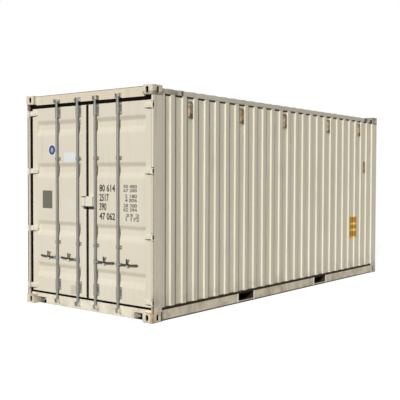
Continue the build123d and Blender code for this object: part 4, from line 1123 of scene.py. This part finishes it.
def number_columns():
    """The bold column between the bars of the right leaf, and the fine one beside it."""
    bold = bmesh.new()
    for (top, foot), (text, width) in zip(NUMBER_ROWS, BOLD_LINES):
        flat_numbers(bold, text, BOLD_LEFT, top, width, top - foot, BOLD_STROKE)
    piece("bold_numbers", bold, number_paint, "right_door")
    fine = bmesh.new()
    for (top, foot), (upper, lower, left, width) in zip(NUMBER_ROWS, FINE_LINES):
        each = (top - foot) * FINE_SHARE
        flat_numbers(fine, upper, left, top, width, each, FINE_STROKE)
        flat_numbers(fine, lower, left, foot + each, width, each, FINE_STROKE)
    piece("fine_numbers", fine, worn_number_paint, "right_door")


number_columns()

# %% [markdown]
# ## Labels and the data plate
# The left leaf carries blank stickers and a plain round badge in place of the real ones. The data plate
# gets rivets at its corners and rows of raised lines instead of words.

# %% Labels and data plate
white_label = printed("white_label", (0.80, 0.84, 0.85), 0.4, 0.25)
faded_label = printed("faded_label", (0.80, 0.775, 0.68), 0.5, 0.6)
grey_patch = printed("grey_patch", (0.64, 0.59, 0.46), 0.5, 0.3)
blue_label = printed("blue_label", (0.035, 0.06, 0.20), 0.35, 0.03)
pale_blue = printed("pale_blue", (0.36, 0.41, 0.66), 0.35, 0.03)
STICKERS = (("white_sticker", (0.248, 0.480), (1.974, 2.101), white_label, 0.0006),
            ("faded_sticker", (0.266, 0.489), (1.302, 1.485), faded_label, 0.0005),
            ("foot_patch", (0.200, 0.349), (0.196, 0.316), grey_patch, 0.0006))
BADGE_Y, BADGE_Z = 0.729, 2.140
DISCS = (("badge_rim", 0.080, 1.0, white_label, 0.0006), ("badge", 0.066, 1.0, blue_label, 0.0010),
         ("badge_centre", 0.026, 1.35, pale_blue, 0.0014))    # radius, stretch, paint, lift
PLATE_X, PLATE_Y, PLATE_Z = -2.972, 0.830, 1.461    # middle of the plate's front
RIVET_ACROSS, RIVET_UP = 0.094, 0.113
LINE_COUNT, LINE_TOP, LINE_PITCH, LINE_TALL = 9, PLATE_Z + 0.085, 0.021, 0.005
LINE_LEFT, LINE_LONG, LINE_SHORT = PLATE_Y + 0.078, 0.150, 0.100
LINE_LIFT = 0.0006


def sticker(name, y, z, material, lift):
    """A thin sheet on the left leaf."""
    bm = bmesh.new()
    block(bm, (FACE_X - lift, y[0], z[0]), (FACE_X, y[1], z[1]), 0.0002)
    piece(name, bm, material, "left_door")


def disc(name, radius, stretch, material, lift):
    """A thin disc on the left leaf."""
    bm = bmesh.new()
    middle = Matrix.Translation((FACE_X - lift / 2, BADGE_Y, BADGE_Z))
    matrix = middle @ TO_DOOR_END @ Matrix.Diagonal((stretch, 1, 1, 1))
    bmesh.ops.create_cone(bm, cap_ends=True, segments=48, radius1=radius, radius2=radius, depth=lift,
                          matrix=matrix)
    piece(name, bm, material, "left_door")


def plate_relief():
    """Rivets and raised lines on the data plate."""
    bm = bmesh.new()
    for dy in (-RIVET_ACROSS, RIVET_ACROSS):
        for dz in (-RIVET_UP, RIVET_UP):
            head(bm, (PLATE_X, PLATE_Y + dy, PLATE_Z + dz), 0.0045, 0.002, 12, 0.6)
    for index in range(LINE_COUNT):
        z = LINE_TOP - index * LINE_PITCH
        length = LINE_LONG if index % 3 else LINE_SHORT
        block(bm, (PLATE_X - LINE_LIFT, LINE_LEFT - length, z), (PLATE_X, LINE_LEFT, z + LINE_TALL))
    piece("plate_relief", bm, plate_metal, "left_door")


for row in STICKERS:
    sticker(*row)
for row in DISCS:
    disc(*row)
plate_relief()
